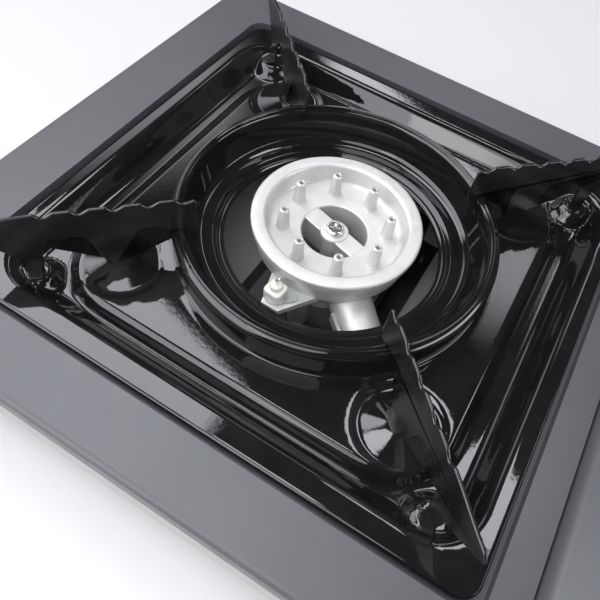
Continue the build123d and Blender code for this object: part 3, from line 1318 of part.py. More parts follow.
def make_carriage():
    """Sliding bar with the pusher behind the cartridge and the cam pin."""
    y, z = cam_pin_place()
    front = y - 8.0
    bar = block(BAR_X, BAR_X + BAR_T, front, PUSHER_Y, BAR_LOW, BAR_LOW + BAR_H)
    ear = block(BAR_X, BAR_X + BAR_T, front, front + 13.0, BAR_LOW, z + 5.0)
    pusher = block(BAR_X, AXIS_X + 14.0, PUSHER_Y, PUSHER_Y + PUSHER_T, 17.0, AXIS_Z + 16.0)
    pusher = fillet(pusher.edges().filter_by(Axis.Y).sort_by(Axis.X)[-2:], 8.0)
    pin = rod(CAM_PIN_R, (LEVER_X - 1.0, y, z), (1, 0, 0), BAR_X + 1.0 - LEVER_X + 0.5)
    return bar + ear + pusher + pin


def make_carriage_guides():
    """Clips on the partition that hold the sliding bar."""
    clips = []
    face = PARTITION_X + PARTITION_T
    room = GUIDE_CLEAR
    for y in GUIDES_AT:
        outer = block(
            face, BAR_X + BAR_T + room + 1.2, y - GUIDE_L / 2, y + GUIDE_L / 2,
            BAR_LOW - room - 1.2, BAR_LOW + BAR_H + room + 1.2,
        )
        inner = block(
            BAR_X - room, BAR_X + BAR_T + room, y - GUIDE_L, y + GUIDE_L,
            BAR_LOW - room, BAR_LOW + BAR_H + room,
        )
        clips.append(outer - inner)
    return Compound(clips)


# ---------------------------------------------------------------- write every sub-part
def write_chassis():
    save("lower_case", make_lower_case())
    save("top_plate", make_top_plate())
    save("bay_partition", make_bay_partition())
    save("bay_bulkhead", make_bay_bulkhead())
    foot = make_foot()
    corners = [(sx, sy) for sy in (-1, 1) for sx in (-1, 1)]
    for i, (sx, sy) in enumerate(corners, start=1):
        save(f"foot_{i}", Pos(sx * FOOT_X, sy * FOOT_Y, 0) * foot)
    save("case_screws", make_case_screws())
    save("hinge_pin", make_hinge_pin())
    for i, saddle in enumerate(make_cartridge_saddles(), start=1):
        save(f"cartridge_saddle_{i}", saddle)
    save("lever_guide", make_lever_guide())
    save("carriage_guides", make_carriage_guides())


def write_burner():
    save("burner_channel", make_burner_channel())
    save("burner_base", make_burner_base())
    save("burner_cap", make_burner_cap())
    save("burner_screw", make_burner_screw())
    save("electrode_ceramic", make_electrode_ceramic())
    save("electrode_pin", make_electrode_pin())
    save("electrode_strap", make_electrode_strap())
    save("ignition_lead", make_ignition_lead())
    save("lead_clips", make_lead_clips())
    save("piezo_body", make_piezo_body())
    save("piezo_bracket", make_piezo_bracket())
    save("gas_nozzle", make_gas_nozzle())
    save("nozzle_bracket", make_nozzle_bracket())
    save("gas_pipe", make_gas_pipe())
    save("regulator_body", make_regulator_body())
    save("regulator_screws", make_regulator_screws())
    save("socket_seal", make_socket_seal())
    save("diaphragm_housing", make_diaphragm_housing())


def write_moving():
    save("drip_pan", make_drip_pan())
    for i, turn in enumerate((45, 135, 225, 315), start=1):
        save(f"pot_support_{i}", make_pot_support(turn))
    save("knob", make_knob())
    save("valve_shaft", make_valve_shaft())
    save("ignition_cam", make_ignition_cam())
    save("piezo_plunger", make_piezo_plunger())
    save("lid", make_lid())
    save("lock_lever", make_lock_lever())
    save("lever_grip", make_lever_grip())
    save("carriage", make_carriage())


write_chassis()
write_burner()
write_moving()
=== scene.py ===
# %% [markdown]
# # A butane cassette stove, dressed in Blender
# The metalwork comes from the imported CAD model, which this script loads as a fixed frame.
# Blender adds what solids can't show well: the soft press work of the enamelled drip pan,
# the worn edges of the pot supports, the cast burner, and a finish for every surface.

# %% Load the frame
import json
import math

import bmesh
import bpy
import numpy as np
from mathutils import Matrix


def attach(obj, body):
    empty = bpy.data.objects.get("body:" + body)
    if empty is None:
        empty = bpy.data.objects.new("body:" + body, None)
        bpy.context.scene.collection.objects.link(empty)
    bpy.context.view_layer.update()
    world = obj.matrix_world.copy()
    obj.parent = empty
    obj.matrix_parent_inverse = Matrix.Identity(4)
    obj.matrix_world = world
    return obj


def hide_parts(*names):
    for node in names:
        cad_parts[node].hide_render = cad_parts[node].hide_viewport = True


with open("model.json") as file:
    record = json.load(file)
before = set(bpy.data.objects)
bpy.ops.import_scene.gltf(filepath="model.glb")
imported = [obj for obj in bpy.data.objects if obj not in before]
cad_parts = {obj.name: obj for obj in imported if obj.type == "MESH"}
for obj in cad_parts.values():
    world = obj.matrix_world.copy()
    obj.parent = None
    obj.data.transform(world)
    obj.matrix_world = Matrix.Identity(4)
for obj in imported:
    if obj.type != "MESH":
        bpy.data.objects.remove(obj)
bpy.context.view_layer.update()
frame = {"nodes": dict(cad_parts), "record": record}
nodes = frame["nodes"]

# %% [markdown]
# ## Camera
# The stove is seen from close by, high over the middle of its front edge and slightly
# tilted. So the camera is given by its place, the direction it looks in, and a roll about
# that direction. A matrix takes all three at once.

# %% Camera
MM = 0.001
CAMERA_AT = np.array([29.4, -159.9, 272.3])   # mm
LOOKS = np.array([-0.203, 0.517, -0.832])     # direction
ROLL = math.radians(11.54)
FOCAL_MM = 35.58
SHIFT = (-0.0025, 0.0075)                     # share of the picture's width
NEAREST = 10.0                                # mm, nothing closer is drawn


def unit(vector):
    """The vector divided by its length."""
    return vector / np.linalg.norm(vector)


def turned_matrix(place, looks, roll):
    """Object matrix from a place in mm, a viewing direction and a roll about it."""
    forward = unit(looks)
    level = unit(np.cross(forward, [0, 0, 1]))
    upward = np.cross(level, forward)
    right = level * math.cos(roll) + upward * math.sin(roll)
    up = upward * math.cos(roll) - level * math.sin(roll)
    matrix = np.eye(4)
    matrix[:3, :3] = np.stack([right, up, -forward], axis=1)
    matrix[:3, 3] = np.asarray(place) * MM
    return Matrix(matrix.tolist())


lens = bpy.data.cameras.new("main_camera")
lens.lens = FOCAL_MM
lens.shift_x, lens.shift_y = SHIFT
lens.clip_start = NEAREST * MM
camera = bpy.data.objects.new("main_camera", lens)
bpy.context.scene.collection.objects.link(camera)
camera.matrix_world = turned_matrix(CAMERA_AT, LOOKS, ROLL)
bpy.context.scene.camera = camera
bpy.context.scene.view_settings.view_transform = "Standard"
print("camera at", CAMERA_AT, "mm, lens", FOCAL_MM, "mm")

# %% [markdown]
# ## Surfaces from numbers
# A pressed or cast part is a smooth function of two parameters. Each helper here fills whole
# arrays at once: a grid of points, the quads that join them, and a mesh that holds both.


# %% Grid and mesh helpers
ONE_POINT = 1e-6                              # m, points closer than this are merged


def grid_faces(rows, columns, wrap_rows=False):
    """Quads of a grid whose rows close on themselves, and whose last row can meet the first.

    Corner (i, j) is joined to (i, j+1), (i+1, j+1) and (i+1, j).
    """
    i, j = np.meshgrid(
        np.arange(rows if wrap_rows else rows - 1), np.arange(columns), indexing="ij",
    )
    below, beside = (i + 1) % rows, (j + 1) % columns
    corners = [i * columns + j, i * columns + beside,
               below * columns + beside, below * columns + j]
    return np.stack(corners, axis=-1).reshape(-1, 4)


def mesh_object(name, points, faces, capped=False):
    """Smooth mesh object from points in mm and quads, doubled points merged, faces outwards.

    With capped, each open end gets one flat face.
    """
    mesh = bpy.data.meshes.new(name)
    mesh.from_pydata((np.asarray(points).reshape(-1, 3) * MM).tolist(), [], faces.tolist())
    work = bmesh.new()
    work.from_mesh(mesh)
    bmesh.ops.remove_doubles(work, verts=work.verts, dist=ONE_POINT)
    sides = len(work.faces)
    if capped:
        bmesh.ops.holes_fill(work, edges=[e for e in work.edges if e.is_boundary], sides=0)
    bmesh.ops.recalc_face_normals(work, faces=work.faces)
    work.to_mesh(mesh)
    work.free()
    mesh.polygons.foreach_set("use_smooth", np.arange(len(mesh.polygons)) < sides)
    obj = bpy.data.objects.new(name, mesh)
    bpy.context.scene.collection.objects.link(obj)
    return obj


def joined(parts):
    """One list of points and faces from several, the face numbers moved on."""
    points = [np.asarray(p).reshape(-1, 3) for p, _ in parts]
    starts = np.cumsum([0] + [len(p) for p in points[:-1]])
    return np.concatenate(points), np.concatenate([f + s for (_, f), s in zip(parts, starts)])


print("mesh helpers ready")

# %% [markdown]
# ## Profiles and turned parts
# Two helpers make the burner and every outline. The first rounds the corners of a chain, the
# way a press or a file does. The second turns a profile about an axis, as on a lathe.


# %% Profile helpers
def rounded_corners(corners, radii, steps=6, closed=True):
    """Chain with each corner replaced by a tangent arc.

    At a corner with unit vectors u and v to its neighbours and the angle a between them, the
    arc's centre lies at r / sin(a / 2) along u + v, and it is swept from one tangent point
    to the other by spherical interpolation.
    """
    p = np.asarray(corners, float)
    radii = np.broadcast_to(np.asarray(radii, float), len(p) if closed else len(p) - 2)
    mid = p if closed else p[1:-1]
    u = (np.roll(p, 1, 0) if closed else p[:-2]) - mid
    v = (np.roll(p, -1, 0) if closed else p[2:]) - mid
    u /= np.linalg.norm(u, axis=1, keepdims=True)
    v /= np.linalg.norm(v, axis=1, keepdims=True)
    angle = np.arccos(np.clip((u * v).sum(1), -0.9999, 0.9999))
    toward = (u + v) / np.linalg.norm(u + v, axis=1, keepdims=True)
    centre = mid + toward * (radii / np.sin(angle / 2))[:, None]
    first = mid + u * (radii / np.tan(angle / 2))[:, None] - centre
    last = mid + v * (radii / np.tan(angle / 2))[:, None] - centre
    turn = (math.pi - angle)[:, None]
    t = np.linspace(0, 1, steps)[None]
    a, b = np.sin((1 - t) * turn) / np.sin(turn), np.sin(t * turn) / np.sin(turn)
    arcs = centre[:, None] + a[..., None] * first[:, None] + b[..., None] * last[:, None]
    chain = arcs.reshape(-1, 2)
    return chain if closed else np.concatenate([p[:1], chain, p[-1:]])


def lathe(profile, steps, at):
    """Closed profile of (radius, height) turned about an upright axis.

    At the angle t a point lies at x = r cos t and y = r sin t from the axis.
    """
    t = np.arange(steps) * 2 * math.pi / steps
    r, z = profile[:, 0, None], profile[:, 1, None]
    points = np.stack([at[0] + r * np.cos(t), at[1] + r * np.sin(t), z + 0 * t], axis=-1)
    return points, grid_faces(len(r), steps, wrap_rows=True)


print("profile helpers ready")

# %% [markdown]
# ## Plates
# A blanked sheet part is an outline with a thickness. The press leaves its edges a little
# round, and they catch the light, so the outline is set in step by step towards both faces.


# %% Plate helpers
def inset_loop(loop, inset):
    """Outline that runs left round its inside, moved in by a distance.

    Each point moves along the mean of its two edge normals, by the inset over the cosine of
    half the turn.
    """
    ahead = np.roll(loop, -1, 0) - loop
    ahead /= np.linalg.norm(ahead, axis=1, keepdims=True)
    mean = ahead + np.roll(ahead, 1, 0)
    mean /= np.linalg.norm(mean, axis=1, keepdims=True)
    across = np.stack([-mean[:, 1], mean[:, 0]], axis=1)
    return loop + across * inset / (mean * ahead).sum(1, keepdims=True)


def slab(outline, thickness, edge, at, u, v):
    """Plate with quarter-round edges: an outline in the directions u and v, thickened evenly.

    At the angle t of the round the outline is set in by e (1 - cos t) and lies e sin t above
    the straight part of the edge.
    """
    t = np.linspace(0, math.pi / 2, 4)
    rise = thickness / 2 - edge + edge * np.sin(t)
    heights = np.concatenate([-rise[::-1], rise])
    insets = edge * (1 - np.cos(np.concatenate([t[::-1], t])))
    flat = np.stack([inset_loop(outline, d) for d in insets])
    u, v = np.asarray(u, float), np.asarray(v, float)
    points = (np.asarray(at) + flat[..., :1] * u + flat[..., 1:] * v
              + heights[:, None, None] * np.cross(u, v))
    return points, grid_faces(len(heights), len(outline))


print("plate helpers ready")

# %% [markdown]
# ## Finishes
# Every finish is one Principled shader. What tells paint, enamel, casting and plating apart is
# the fine structure: how the colour drifts, how the gloss varies and how the surface waves.

# %% Finish helper
NOISE_MIDDLE = (0.3, 0.7)                     # most of a noise texture's values lie in here
GLOSS_PATCHES = 6                             # gloss patches in the width of a colour patch


def finish(name, colour, rough, metal=0.0, drift=0.06, drift_mm=30.0, grain_mm=0.6,
           grain_depth_mm=0.01, rough_range=0.05, stretch=(1, 1, 1), specular=0.5):
    """Procedural finish: broad colour drift, finer gloss change and a grain or orange peel."""
    material = bpy.data.materials.new(name)
    material.use_nodes = True
    tree = material.node_tree
    shader = tree.nodes["Principled BSDF"]
    shader.inputs["Metallic"].default_value = metal
    shader.inputs["Specular IOR Level"].default_value = specular
    place = tree.nodes.new("ShaderNodeTexCoord")
    squeeze = tree.nodes.new("ShaderNodeMapping")
    squeeze.inputs["Scale"].default_value = stretch
    tree.links.new(place.outputs["Object"], squeeze.inputs["Vector"])

    def noise(size_mm, detail):
        """Noise texture whose features are about this large."""
        node = tree.nodes.new("ShaderNodeTexNoise")
        node.inputs["Scale"].default_value = 1.0 / (size_mm * MM)
        node.inputs["Detail"].default_value = detail
        tree.links.new(squeeze.outputs["Vector"], node.inputs["Vector"])
        return node.outputs["Fac"]

    def ranged(source, low, high):
        """The source's middle part stretched to run from low to high."""
        node = tree.nodes.new("ShaderNodeMapRange")
        node.inputs["From Min"].default_value = NOISE_MIDDLE[0]
        node.inputs["From Max"].default_value = NOISE_MIDDLE[1]
        node.inputs["To Min"].default_value = low
        node.inputs["To Max"].default_value = high
        tree.links.new(source, node.inputs["Value"])
        return node.outputs["Result"]

    mix = tree.nodes.new("ShaderNodeMix")
    mix.data_type = "RGBA"
    mix.inputs["A"].default_value = (*[c * (1 - drift) for c in colour], 1)
    mix.inputs["B"].default_value = (*[min(c * (1 + drift), 1) for c in colour], 1)
    tree.links.new(ranged(noise(drift_mm, 3), 0, 1), mix.inputs["Factor"])
    tree.links.new(mix.outputs["Result"], shader.inputs["Base Color"])
    smoothest = max(rough - rough_range, 0.02)
    gloss = ranged(noise(drift_mm / GLOSS_PATCHES, 4), smoothest, rough + rough_range)
    tree.links.new(gloss, shader.inputs["Roughness"])
    bump = tree.nodes.new("ShaderNodeBump")
    bump.inputs["Strength"].default_value = 1.0
    bump.inputs["Distance"].default_value = grain_depth_mm * MM
    tree.links.new(noise(grain_mm, 2), bump.inputs["Height"])
    tree.links.new(bump.outputs["Normal"], shader.inputs["Normal"])
    return material


print("finish helper ready")

# %% [markdown]
# ## The stove's finishes
# A colour is what the bare surface shows in plain light, and rough runs from 0, a mirror, to
# 1, chalk. Each finish is named after its slot in the CAD model. Only the supports' enamel is
# no slot: they share the pan's, but a surface as smooth as the pan's would mirror it so well
# that they would look see-through.

# %% Finishes
FINISHES = {
    # glossy porcelain enamel: nearly black, slow orange peel, a hard clear surface
    "enamel_black": dict(colour=(0.010, 0.010, 0.011), rough=0.045, drift=0.25, drift_mm=12,
                         grain_mm=1.8, grain_depth_mm=0.010, rough_range=0.015),
    # the same enamel over the cut edges and the grain of the supports' sheet
    "support_enamel": dict(colour=(0.012, 0.012, 0.013), rough=0.24, drift=0.25, drift_mm=9,
                           grain_mm=1.2, grain_depth_mm=0.012, rough_range=0.05),
    # satin baked paint
    "plate_grey": dict(colour=(0.106, 0.109, 0.119), rough=0.36, drift=0.05, drift_mm=45,
                       grain_mm=0.5, grain_depth_mm=0.006, rough_range=0.03, specular=0.34),
    "case_silver": dict(colour=(0.52, 0.52, 0.50), rough=0.38, drift=0.04, drift_mm=60,
                        grain_mm=0.5, grain_depth_mm=0.006, rough_range=0.04),
    # near-black: the channel's own paint, and also painted shade for the hollow under the
    # burner seen through the pan's hole
    "channel_black": dict(colour=(0.018, 0.018, 0.018), rough=0.42, drift=0.2, drift_mm=15,
                          grain_mm=0.7, grain_depth_mm=0.01),
    # castings: a fine sandy skin with faint flow marks
    "cast_aluminium": dict(colour=(0.62, 0.62, 0.61), rough=0.46, metal=0.4, drift=0.06,
                           drift_mm=7, grain_mm=0.35, grain_depth_mm=0.016, rough_range=0.08),
    "cast_zinc": dict(colour=(0.50, 0.51, 0.52), rough=0.40, metal=1.0, drift=0.1,
                      drift_mm=9, grain_mm=0.4, grain_depth_mm=0.012, rough_range=0.07),
    # drawn and rolled metal: the grain runs one way
    "pipe_aluminium": dict(colour=(0.72, 0.72, 0.73), rough=0.25, metal=1.0, drift=0.06,
                           drift_mm=10, grain_mm=0.5, grain_depth_mm=0.004),
    "zinc_steel": dict(colour=(0.52, 0.54, 0.55), rough=0.32, metal=1.0, drift=0.12,
                       drift_mm=8, grain_mm=0.8, grain_depth_mm=0.006, stretch=(1, 0.12, 1)),
    "screw_steel": dict(colour=(0.70, 0.70, 0.70), rough=0.22, metal=1.0, drift=0.08,
                        drift_mm=3, grain_mm=0.3, grain_depth_mm=0.006),
    "brass": dict(colour=(0.62, 0.42, 0.15), rough=0.25, metal=1.0, drift=0.12, drift_mm=4,
                  grain_mm=0.3, grain_depth_mm=0.005),
    "white_ceramic": dict(colour=(0.86, 0.85, 0.80), rough=0.16, drift=0.03, drift_mm=5,
                          grain_mm=0.8, grain_depth_mm=0.01),
    # moulded parts
    "black_plastic": dict(colour=(0.02, 0.02, 0.021), rough=0.48, drift=0.1, drift_mm=18,
                          grain_mm=0.35, grain_depth_mm=0.02),
    "cam_plastic": dict(colour=(0.66, 0.64, 0.58), rough=0.45, drift=0.04, drift_mm=10,
                        grain_mm=0.4, grain_depth_mm=0.01),
    "lead_rubber": dict(colour=(0.32, 0.02, 0.015), rough=0.5, drift=0.12, drift_mm=10,
                        grain_mm=0.5, grain_depth_mm=0.01),
    "seal_rubber": dict(colour=(0.02, 0.02, 0.02), rough=0.6, drift=0.15, drift_mm=6,
                        grain_mm=0.4, grain_depth_mm=0.012),
    "foot_rubber": dict(colour=(0.025, 0.025, 0.025), rough=0.7, drift=0.15, drift_mm=6,
                        grain_mm=0.4, grain_depth_mm=0.02),
}
materials = {slot: finish(slot, **values) for slot, values in FINISHES.items()}
print("finishes:", ", ".join(materials))

# %% [markdown]
# ## The CAD nodes
# Case, plate, lid, knob and all of the inside are shown by the solids themselves. Each keeps
# its mesh and takes the finish of its slot.

# %% Dress the CAD nodes
slot_of = {part["node"]: part["material_slot"] for part in frame["record"]["subparts"]}
for node, obj in nodes.items():
    obj.data.materials.clear()
    obj.data.materials.append(materials[slot_of[node]])
print("dressed", len(nodes), "nodes")

# %% [markdown]
# ## New pieces
# Where soft folds or worn edges matter, a new surface takes a node's place. It rides on the
# same body of the stove as the node, so it moves with it.


# %% Helper for a new piece
def piece(name, parts, body, slot, node, capped=False, dress=None):
    """Make a piece from parts, give it its body and slot, and hide the node that it stands
    for.

    It wears the finish of its slot, unless dress names another one.
    """
    points, faces = joined(parts)
    obj = mesh_object(name, points, faces, capped)
    obj.data.materials.append(materials[dress or slot])
    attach(obj, body)
    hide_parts(node)
    print(name, "has", len(obj.data.polygons), "faces")
    return obj


print("piece helper ready")

# %% [markdown]
# ## Drip pan
# The pan is pressed from one sheet, so it is one surface: a height over the table for each
# point, with soft folds, from the burner's hole over the wind shield ring, the plateau with
# its four bosses, the trough and the flange, to the skirt. Rays run out from the burner's
# axis, and rows of points follow the ring's section first and then even steps to the rim.

# %% Drip pan: levels and outlines
AXIS = np.array([-28.0, 8.0])          # the burner's axis, mm
FLANGE_Z, TROUGH_Z, PLATEAU_Z = 71.4, 61.5, 67.6
BOSS_Z, BOSS_AT, BOSS_R = 69.0, 93.0, 18.3
PAD_Z, PAD_AT, PAD_R = 68.2, 127.0, 6.5
SHEET = 1.2
RIDGE = (105.0, 99.0, 20.0)            # half sizes and corner radius
PLATEAU = (85.0, 86.0, 28.0)
RIM = (112.5, 109.5, 8.0)
DIAGONALS = np.radians([45, 135, 225, 315])


def outline_distance(x, y, half_x, half_y, corner):
    """Signed distance to a rounded rectangle, negative inside."""
    qx, qy = np.abs(x) - half_x + corner, np.abs(y) - half_y + corner
    outside = np.hypot(np.maximum(qx, 0), np.maximum(qy, 0))
    return outside + np.minimum(np.maximum(qx, qy), 0) - corner


print("pan rim", 2 * RIM[0], "x", 2 * RIM[1], "mm")

# %% [markdown]
# Each level is a flat top with sloping sides, and the highest of them counts at each point.
# Pressed sheet can't turn a sharp corner, so every meeting of two levels is rounded, and how
# far is what makes the enamel's lines of light broad or thin.

# %% Drip pan: the height
WALL_DRAFT, PAD_DRAFT = 38, 28         # degrees from the upright
FLANGE_FOLD, TROUGH_FOLD = 2.4, 3.0    # mm, how far each fold is rounded
PLATEAU_FOLD, PLATEAU_ROOT = 2.2, 2.6
PAD_FOLD, PAD_ROOT = 1.4, 2.2
BOSS_TIP_R, BOSS_TIP_FOLD = 4.0, 2.0
BOSS_SLOPE = 0.182                     # the cone's fall for each mm outwards
BOSS_FOOT_IN, BOSS_FOOT = 3.4, 4.8     # where the foot starts inside the edge, and its width


def smooth_step(t):
    """Share that leaves 0 and reaches 1 without a kink: 3 t^2 - 2 t^3."""
    return t * t * (3 - 2 * t)


def soft_max(a, b, blend):
    """Larger of two heights, with the corner between them rounded by a parabola.

    Where they differ by less than the blend, the square of what is left of the blend, over
    four blends, is added.
    """
    overlap = np.maximum(blend - np.abs(a - b), 0)
    return np.maximum(a, b) + overlap ** 2 / (4 * blend)


def raised(level, distance, draft, blend):
    """Flat top at a level that falls away outside an outline.

    Its side drops by the distance over the tangent of the draft, an angle from the upright.
    """
    slope = level - distance / math.tan(math.radians(draft))
    return -soft_max(-level + 0 * slope, -slope, blend)


def pan_height(x, y):
    """Height of the pan's upper face: the highest of trough, flange, plateau and pads.

    A boss is a cone whose height falls evenly outside a rounded tip. Its foot passes over to
    the face around it by a smooth share, 0 on the cone and 1 outside.
    """
    z = raised(FLANGE_Z, -outline_distance(x, y, *RIDGE), WALL_DRAFT, FLANGE_FOLD)
    z = soft_max(z, TROUGH_Z + 0 * z, TROUGH_FOLD)
    plateau = raised(PLATEAU_Z, outline_distance(x, y, *PLATEAU), WALL_DRAFT, PLATEAU_FOLD)
    z = soft_max(z, plateau, PLATEAU_ROOT)
    for turn in DIAGONALS:
        far = np.hypot(x - BOSS_AT * math.cos(turn), y - BOSS_AT * math.sin(turn))
        cone = BOSS_Z - BOSS_SLOPE * soft_max(far - BOSS_TIP_R, 0 * far, BOSS_TIP_FOLD)
        share = smooth_step(np.clip((far - BOSS_R + BOSS_FOOT_IN) / BOSS_FOOT, 0, 1))
        z = cone + (z - cone) * share
        far = np.hypot(x - PAD_AT * math.cos(turn), y - PAD_AT * math.sin(turn))
        z = soft_max(z, raised(PAD_Z, far - PAD_R, PAD_DRAFT, PAD_FOLD), PAD_ROOT)
    return z


print("pan height over the table at the trough:", round(float(pan_height(95.0, 0.0)), 2), "mm")

# %% [markdown]
# The sheet's surface is built in three bands of rows: the wind shield ring from its section,
# the field by its height, and the outer edge with its skirt. Solidify then gives it the
# sheet's thickness, downwards, because the heights are those of the upper face.

# %% Drip pan: the surface
RING = [(49.4, 66.0), (52.6, 66.0), (54.2, 67.6), (61.0, 67.6), (65.2, 77.8), (66.6, 83.8),
        (72.1, 83.0), (70.9, 67.6), (76.0, 67.6)]
RING_BENDS = [0.8, 1.3, 5.0, 5.0, 2.2, 3.9, 1.6]
RAYS, FIELD_STEPS = 400, 61
CROWD = 0.1                            # how much closer the rays lie on the diagonals
EDGE_R, SKIRT_Z = 1.5, 67.3
RING_FOOT = 2.0                        # mm over which the field leaves the ring's foot
HALVINGS = 40


def ray_lengths(angles, half_x, half_y, corner):
    """Distance to a rounded rectangle along each ray, by halving a stretch that holds it."""
    low, high = np.zeros(len(angles)), np.full(len(angles), half_x + half_y)
    for _ in range(HALVINGS):
        middle = (low + high) / 2
        x, y = middle * np.cos(angles), middle * np.sin(angles)
        inside = outline_distance(x, y, half_x, half_y, corner) < 0
        low, high = np.where(inside, middle, low), np.where(inside, high, middle)
    return low


even = np.arange(RAYS) * 2 * math.pi / RAYS
rays = even + CROWD * np.sin(4 * even)
ring_rows = rounded_corners(RING, RING_BENDS, steps=7, closed=False)
ring_r = np.repeat(ring_rows[:, :1], RAYS, axis=1)
ring_z = np.repeat(ring_rows[:, 1:], RAYS, axis=1)

flat_end = ray_lengths(rays, *[v - EDGE_R for v in RIM])
steps_out = np.linspace(0, 1, FIELD_STEPS + 1)[1:, None]
field_r = ring_r[-1:] + (flat_end - ring_r[-1:]) * steps_out
field_z = pan_height(field_r * np.cos(rays), field_r * np.sin(rays))
start_blend = np.clip((field_r - ring_r[-1:]) / RING_FOOT, 0, 1)
field_z = PLATEAU_Z + (field_z - PLATEAU_Z) * start_blend

bend = np.linspace(0, math.pi / 2, 6)[1:]
edge_rows = [
    ray_lengths(rays, *[v - EDGE_R * (1 - math.sin(b)) for v in RIM]) for b in bend
]
edge_r = np.stack([*edge_rows, ray_lengths(rays, *RIM)])
edge_z = np.concatenate([
    FLANGE_Z - EDGE_R * (1 - np.cos(bend[:, None])) + 0 * rays, np.full((1, RAYS), SKIRT_Z),
])
pan_r = np.concatenate([ring_r, field_r, edge_r])
pan_z = np.concatenate([ring_z, field_z, edge_z])
pan_points = np.stack([
    AXIS[0] + pan_r * np.cos(rays), AXIS[1] + pan_r * np.sin(rays), pan_z,
], axis=-1)
pan = piece("enamelled_drip_pan", [(pan_points, grid_faces(len(pan_r), RAYS))],
            "pan", "enamel_black", "drip_pan")
wall = pan.modifiers.new("sheet", "SOLIDIFY")
wall.thickness = SHEET * MM
wall.offset = -1.0
print("pan sheet", SHEET, "mm, rows", len(pan_r), "rays", RAYS)

# %% [markdown]
# ## Pot supports
# Each support is blanked from 1.4 mm sheet. Its top edge has five worn notches that keep a
# pot from sliding. Rounded edges matter here: a thin line of light runs along the whole top,
# which a sharp corner could not show.

# %% Pot supports: the top edge
ARM_IN, ARM_OUT, ARM_TOP, ARM_T = 60.6, 147.0, 101.0, 1.4
ARM_EDGE, TAB_EDGE = 0.6, 0.3          # how far the edges are broken
FOOT_IN, FOOT_OUT = 123.0, 130.5
NOTCHES, FIRST_NOTCH, NOTCH_PITCH = 5, 66.0, 12.8
NOTCH_IN, NOTCH_OUT = 4.6, 3.2         # how far a notch reaches from its bottom, each way
CREST_DROP, NOTCH_DROP, INNER_DROP, OUTER_DROP = 0.2, 2.4, 1.2, 2.0
END_DROP, END_RUN = 2.4, 3.2           # the top edge bends down at its outer end


def arm_top(r):
    """Height of the top edge: smooth steps between notch bottoms and crests.

    Between two key heights a and b it is a + (b - a) (3 t^2 - 2 t^3), t running 0 to 1.
    """
    notches = FIRST_NOTCH + NOTCH_PITCH * np.arange(NOTCHES)
    keys = np.stack([notches - NOTCH_IN, notches, notches + NOTCH_OUT], axis=1).reshape(-1)
    crest = ARM_TOP - CREST_DROP
    levels = np.tile([crest, ARM_TOP - NOTCH_DROP, crest], NOTCHES)
    keys = np.concatenate([[ARM_IN], keys[1:], [ARM_OUT - 4]])
    levels = np.concatenate([[ARM_TOP - INNER_DROP], levels[1:], [ARM_TOP - OUTER_DROP]])
    i = np.clip(np.searchsorted(keys, r, side="right") - 1, 0, len(keys) - 2)
    t = np.clip((r - keys[i]) / (keys[i + 1] - keys[i]), 0, 1)
    return levels[i] + (levels[i + 1] - levels[i]) * smooth_step(t)


print("notch bottoms at", ARM_TOP - NOTCH_DROP, "mm, crests at", ARM_TOP - CREST_DROP, "mm")

# %% [markdown]
# The lower edge follows what a support does: a hook over the wind shield's crest, a leg with
# a tab through the boss, a bridge over the trough, and a foot on the pad. It is a chain of
# corners with arcs, as (distance from the axis, height). The foot's own tab lies flat on the
# pad, where it is welded.

# %% Pot supports: the outline
UNDER = [
    (ARM_IN, 98.0), (ARM_IN, 86.0), (61.4, 82.2), (65.8, 82.2), (65.8, 84.4), (72.7, 84.4),
    (73.7, 86.0), (77.1, 85.6), (81.2, 87.2), (83.6, 86.6), (84.2, 83.0), (84.6, 69.0),
    (86.0, 69.0), (86.0, 65.4), (97.0, 65.4), (97.0, 69.0), (98.8, 69.0), (102.9, 82.5),
    (105.6, 86.5), (117.2, 86.3), (121.1, 81.0), (FOOT_IN, 68.2), (FOOT_OUT, 68.2),
    (FOOT_OUT, 77.2), (ARM_OUT, 95.0), (ARM_OUT, 96.6),
]
UNDER_BENDS = [2.0, 0.8, 0.6, 0.4, 0.3, 0.6, 3.0, 2.0, 0.9, 1.6, 0.6, 0.3, 0.6, 0.6, 0.3,
               0.5, 3.0, 1.6, 2.4, 3.0, 0.8, 0.8, 4.0, 0.6]
under_chain = rounded_corners(UNDER, UNDER_BENDS, steps=4, closed=False)
top_r = np.concatenate([
    [ARM_OUT - 0.05, ARM_OUT - 0.5, ARM_OUT - 1.4, ARM_OUT - 2.6],
    np.arange(ARM_OUT - 4, ARM_IN + 2.2, -0.45),
])
end = np.clip((top_r - ARM_OUT + END_RUN) / END_RUN, 0, 1)
top_z = arm_top(top_r) - END_DROP * end ** 2
corner = np.array([(ARM_IN + 1.4, 99.75), (ARM_IN + 0.6, 99.4), (ARM_IN + 0.15, 98.8)])
arm_outline = np.concatenate([under_chain, np.stack([top_r, top_z], axis=1), corner])
tab_outline = rounded_corners(
    [(FOOT_IN + 0.8, 0.5), (FOOT_OUT - 0.8, 0.5), (FOOT_OUT - 0.8, 5.2), (FOOT_IN + 0.8, 5.2)],
    [0.3, 0.3, 1.4, 1.4], steps=4,
)
print("support outline has", len(arm_outline), "points")

# %% [markdown]
# The same outline stands on each of the four diagonals. The pieces are named by number, in
# the order of the solids that they show.

# %% Pot supports: the four pieces
for number, turn in enumerate(DIAGONALS, start=1):
    outward = np.array([math.cos(turn), math.sin(turn), 0.0])
    beside = np.array([-math.sin(turn), math.cos(turn), 0.0])
    plate = slab(arm_outline, ARM_T, ARM_EDGE, (*AXIS, 0.0), outward, (0, 0, 1))
    tab = slab(tab_outline, ARM_T, TAB_EDGE, (*AXIS, PAD_Z + ARM_T / 2), outward, beside)
    node = f"pot_support_{number}"
    piece(f"notched_support_{number}", [plate, tab], "pan", slot_of[node], node,
          capped=True, dress="support_enamel")

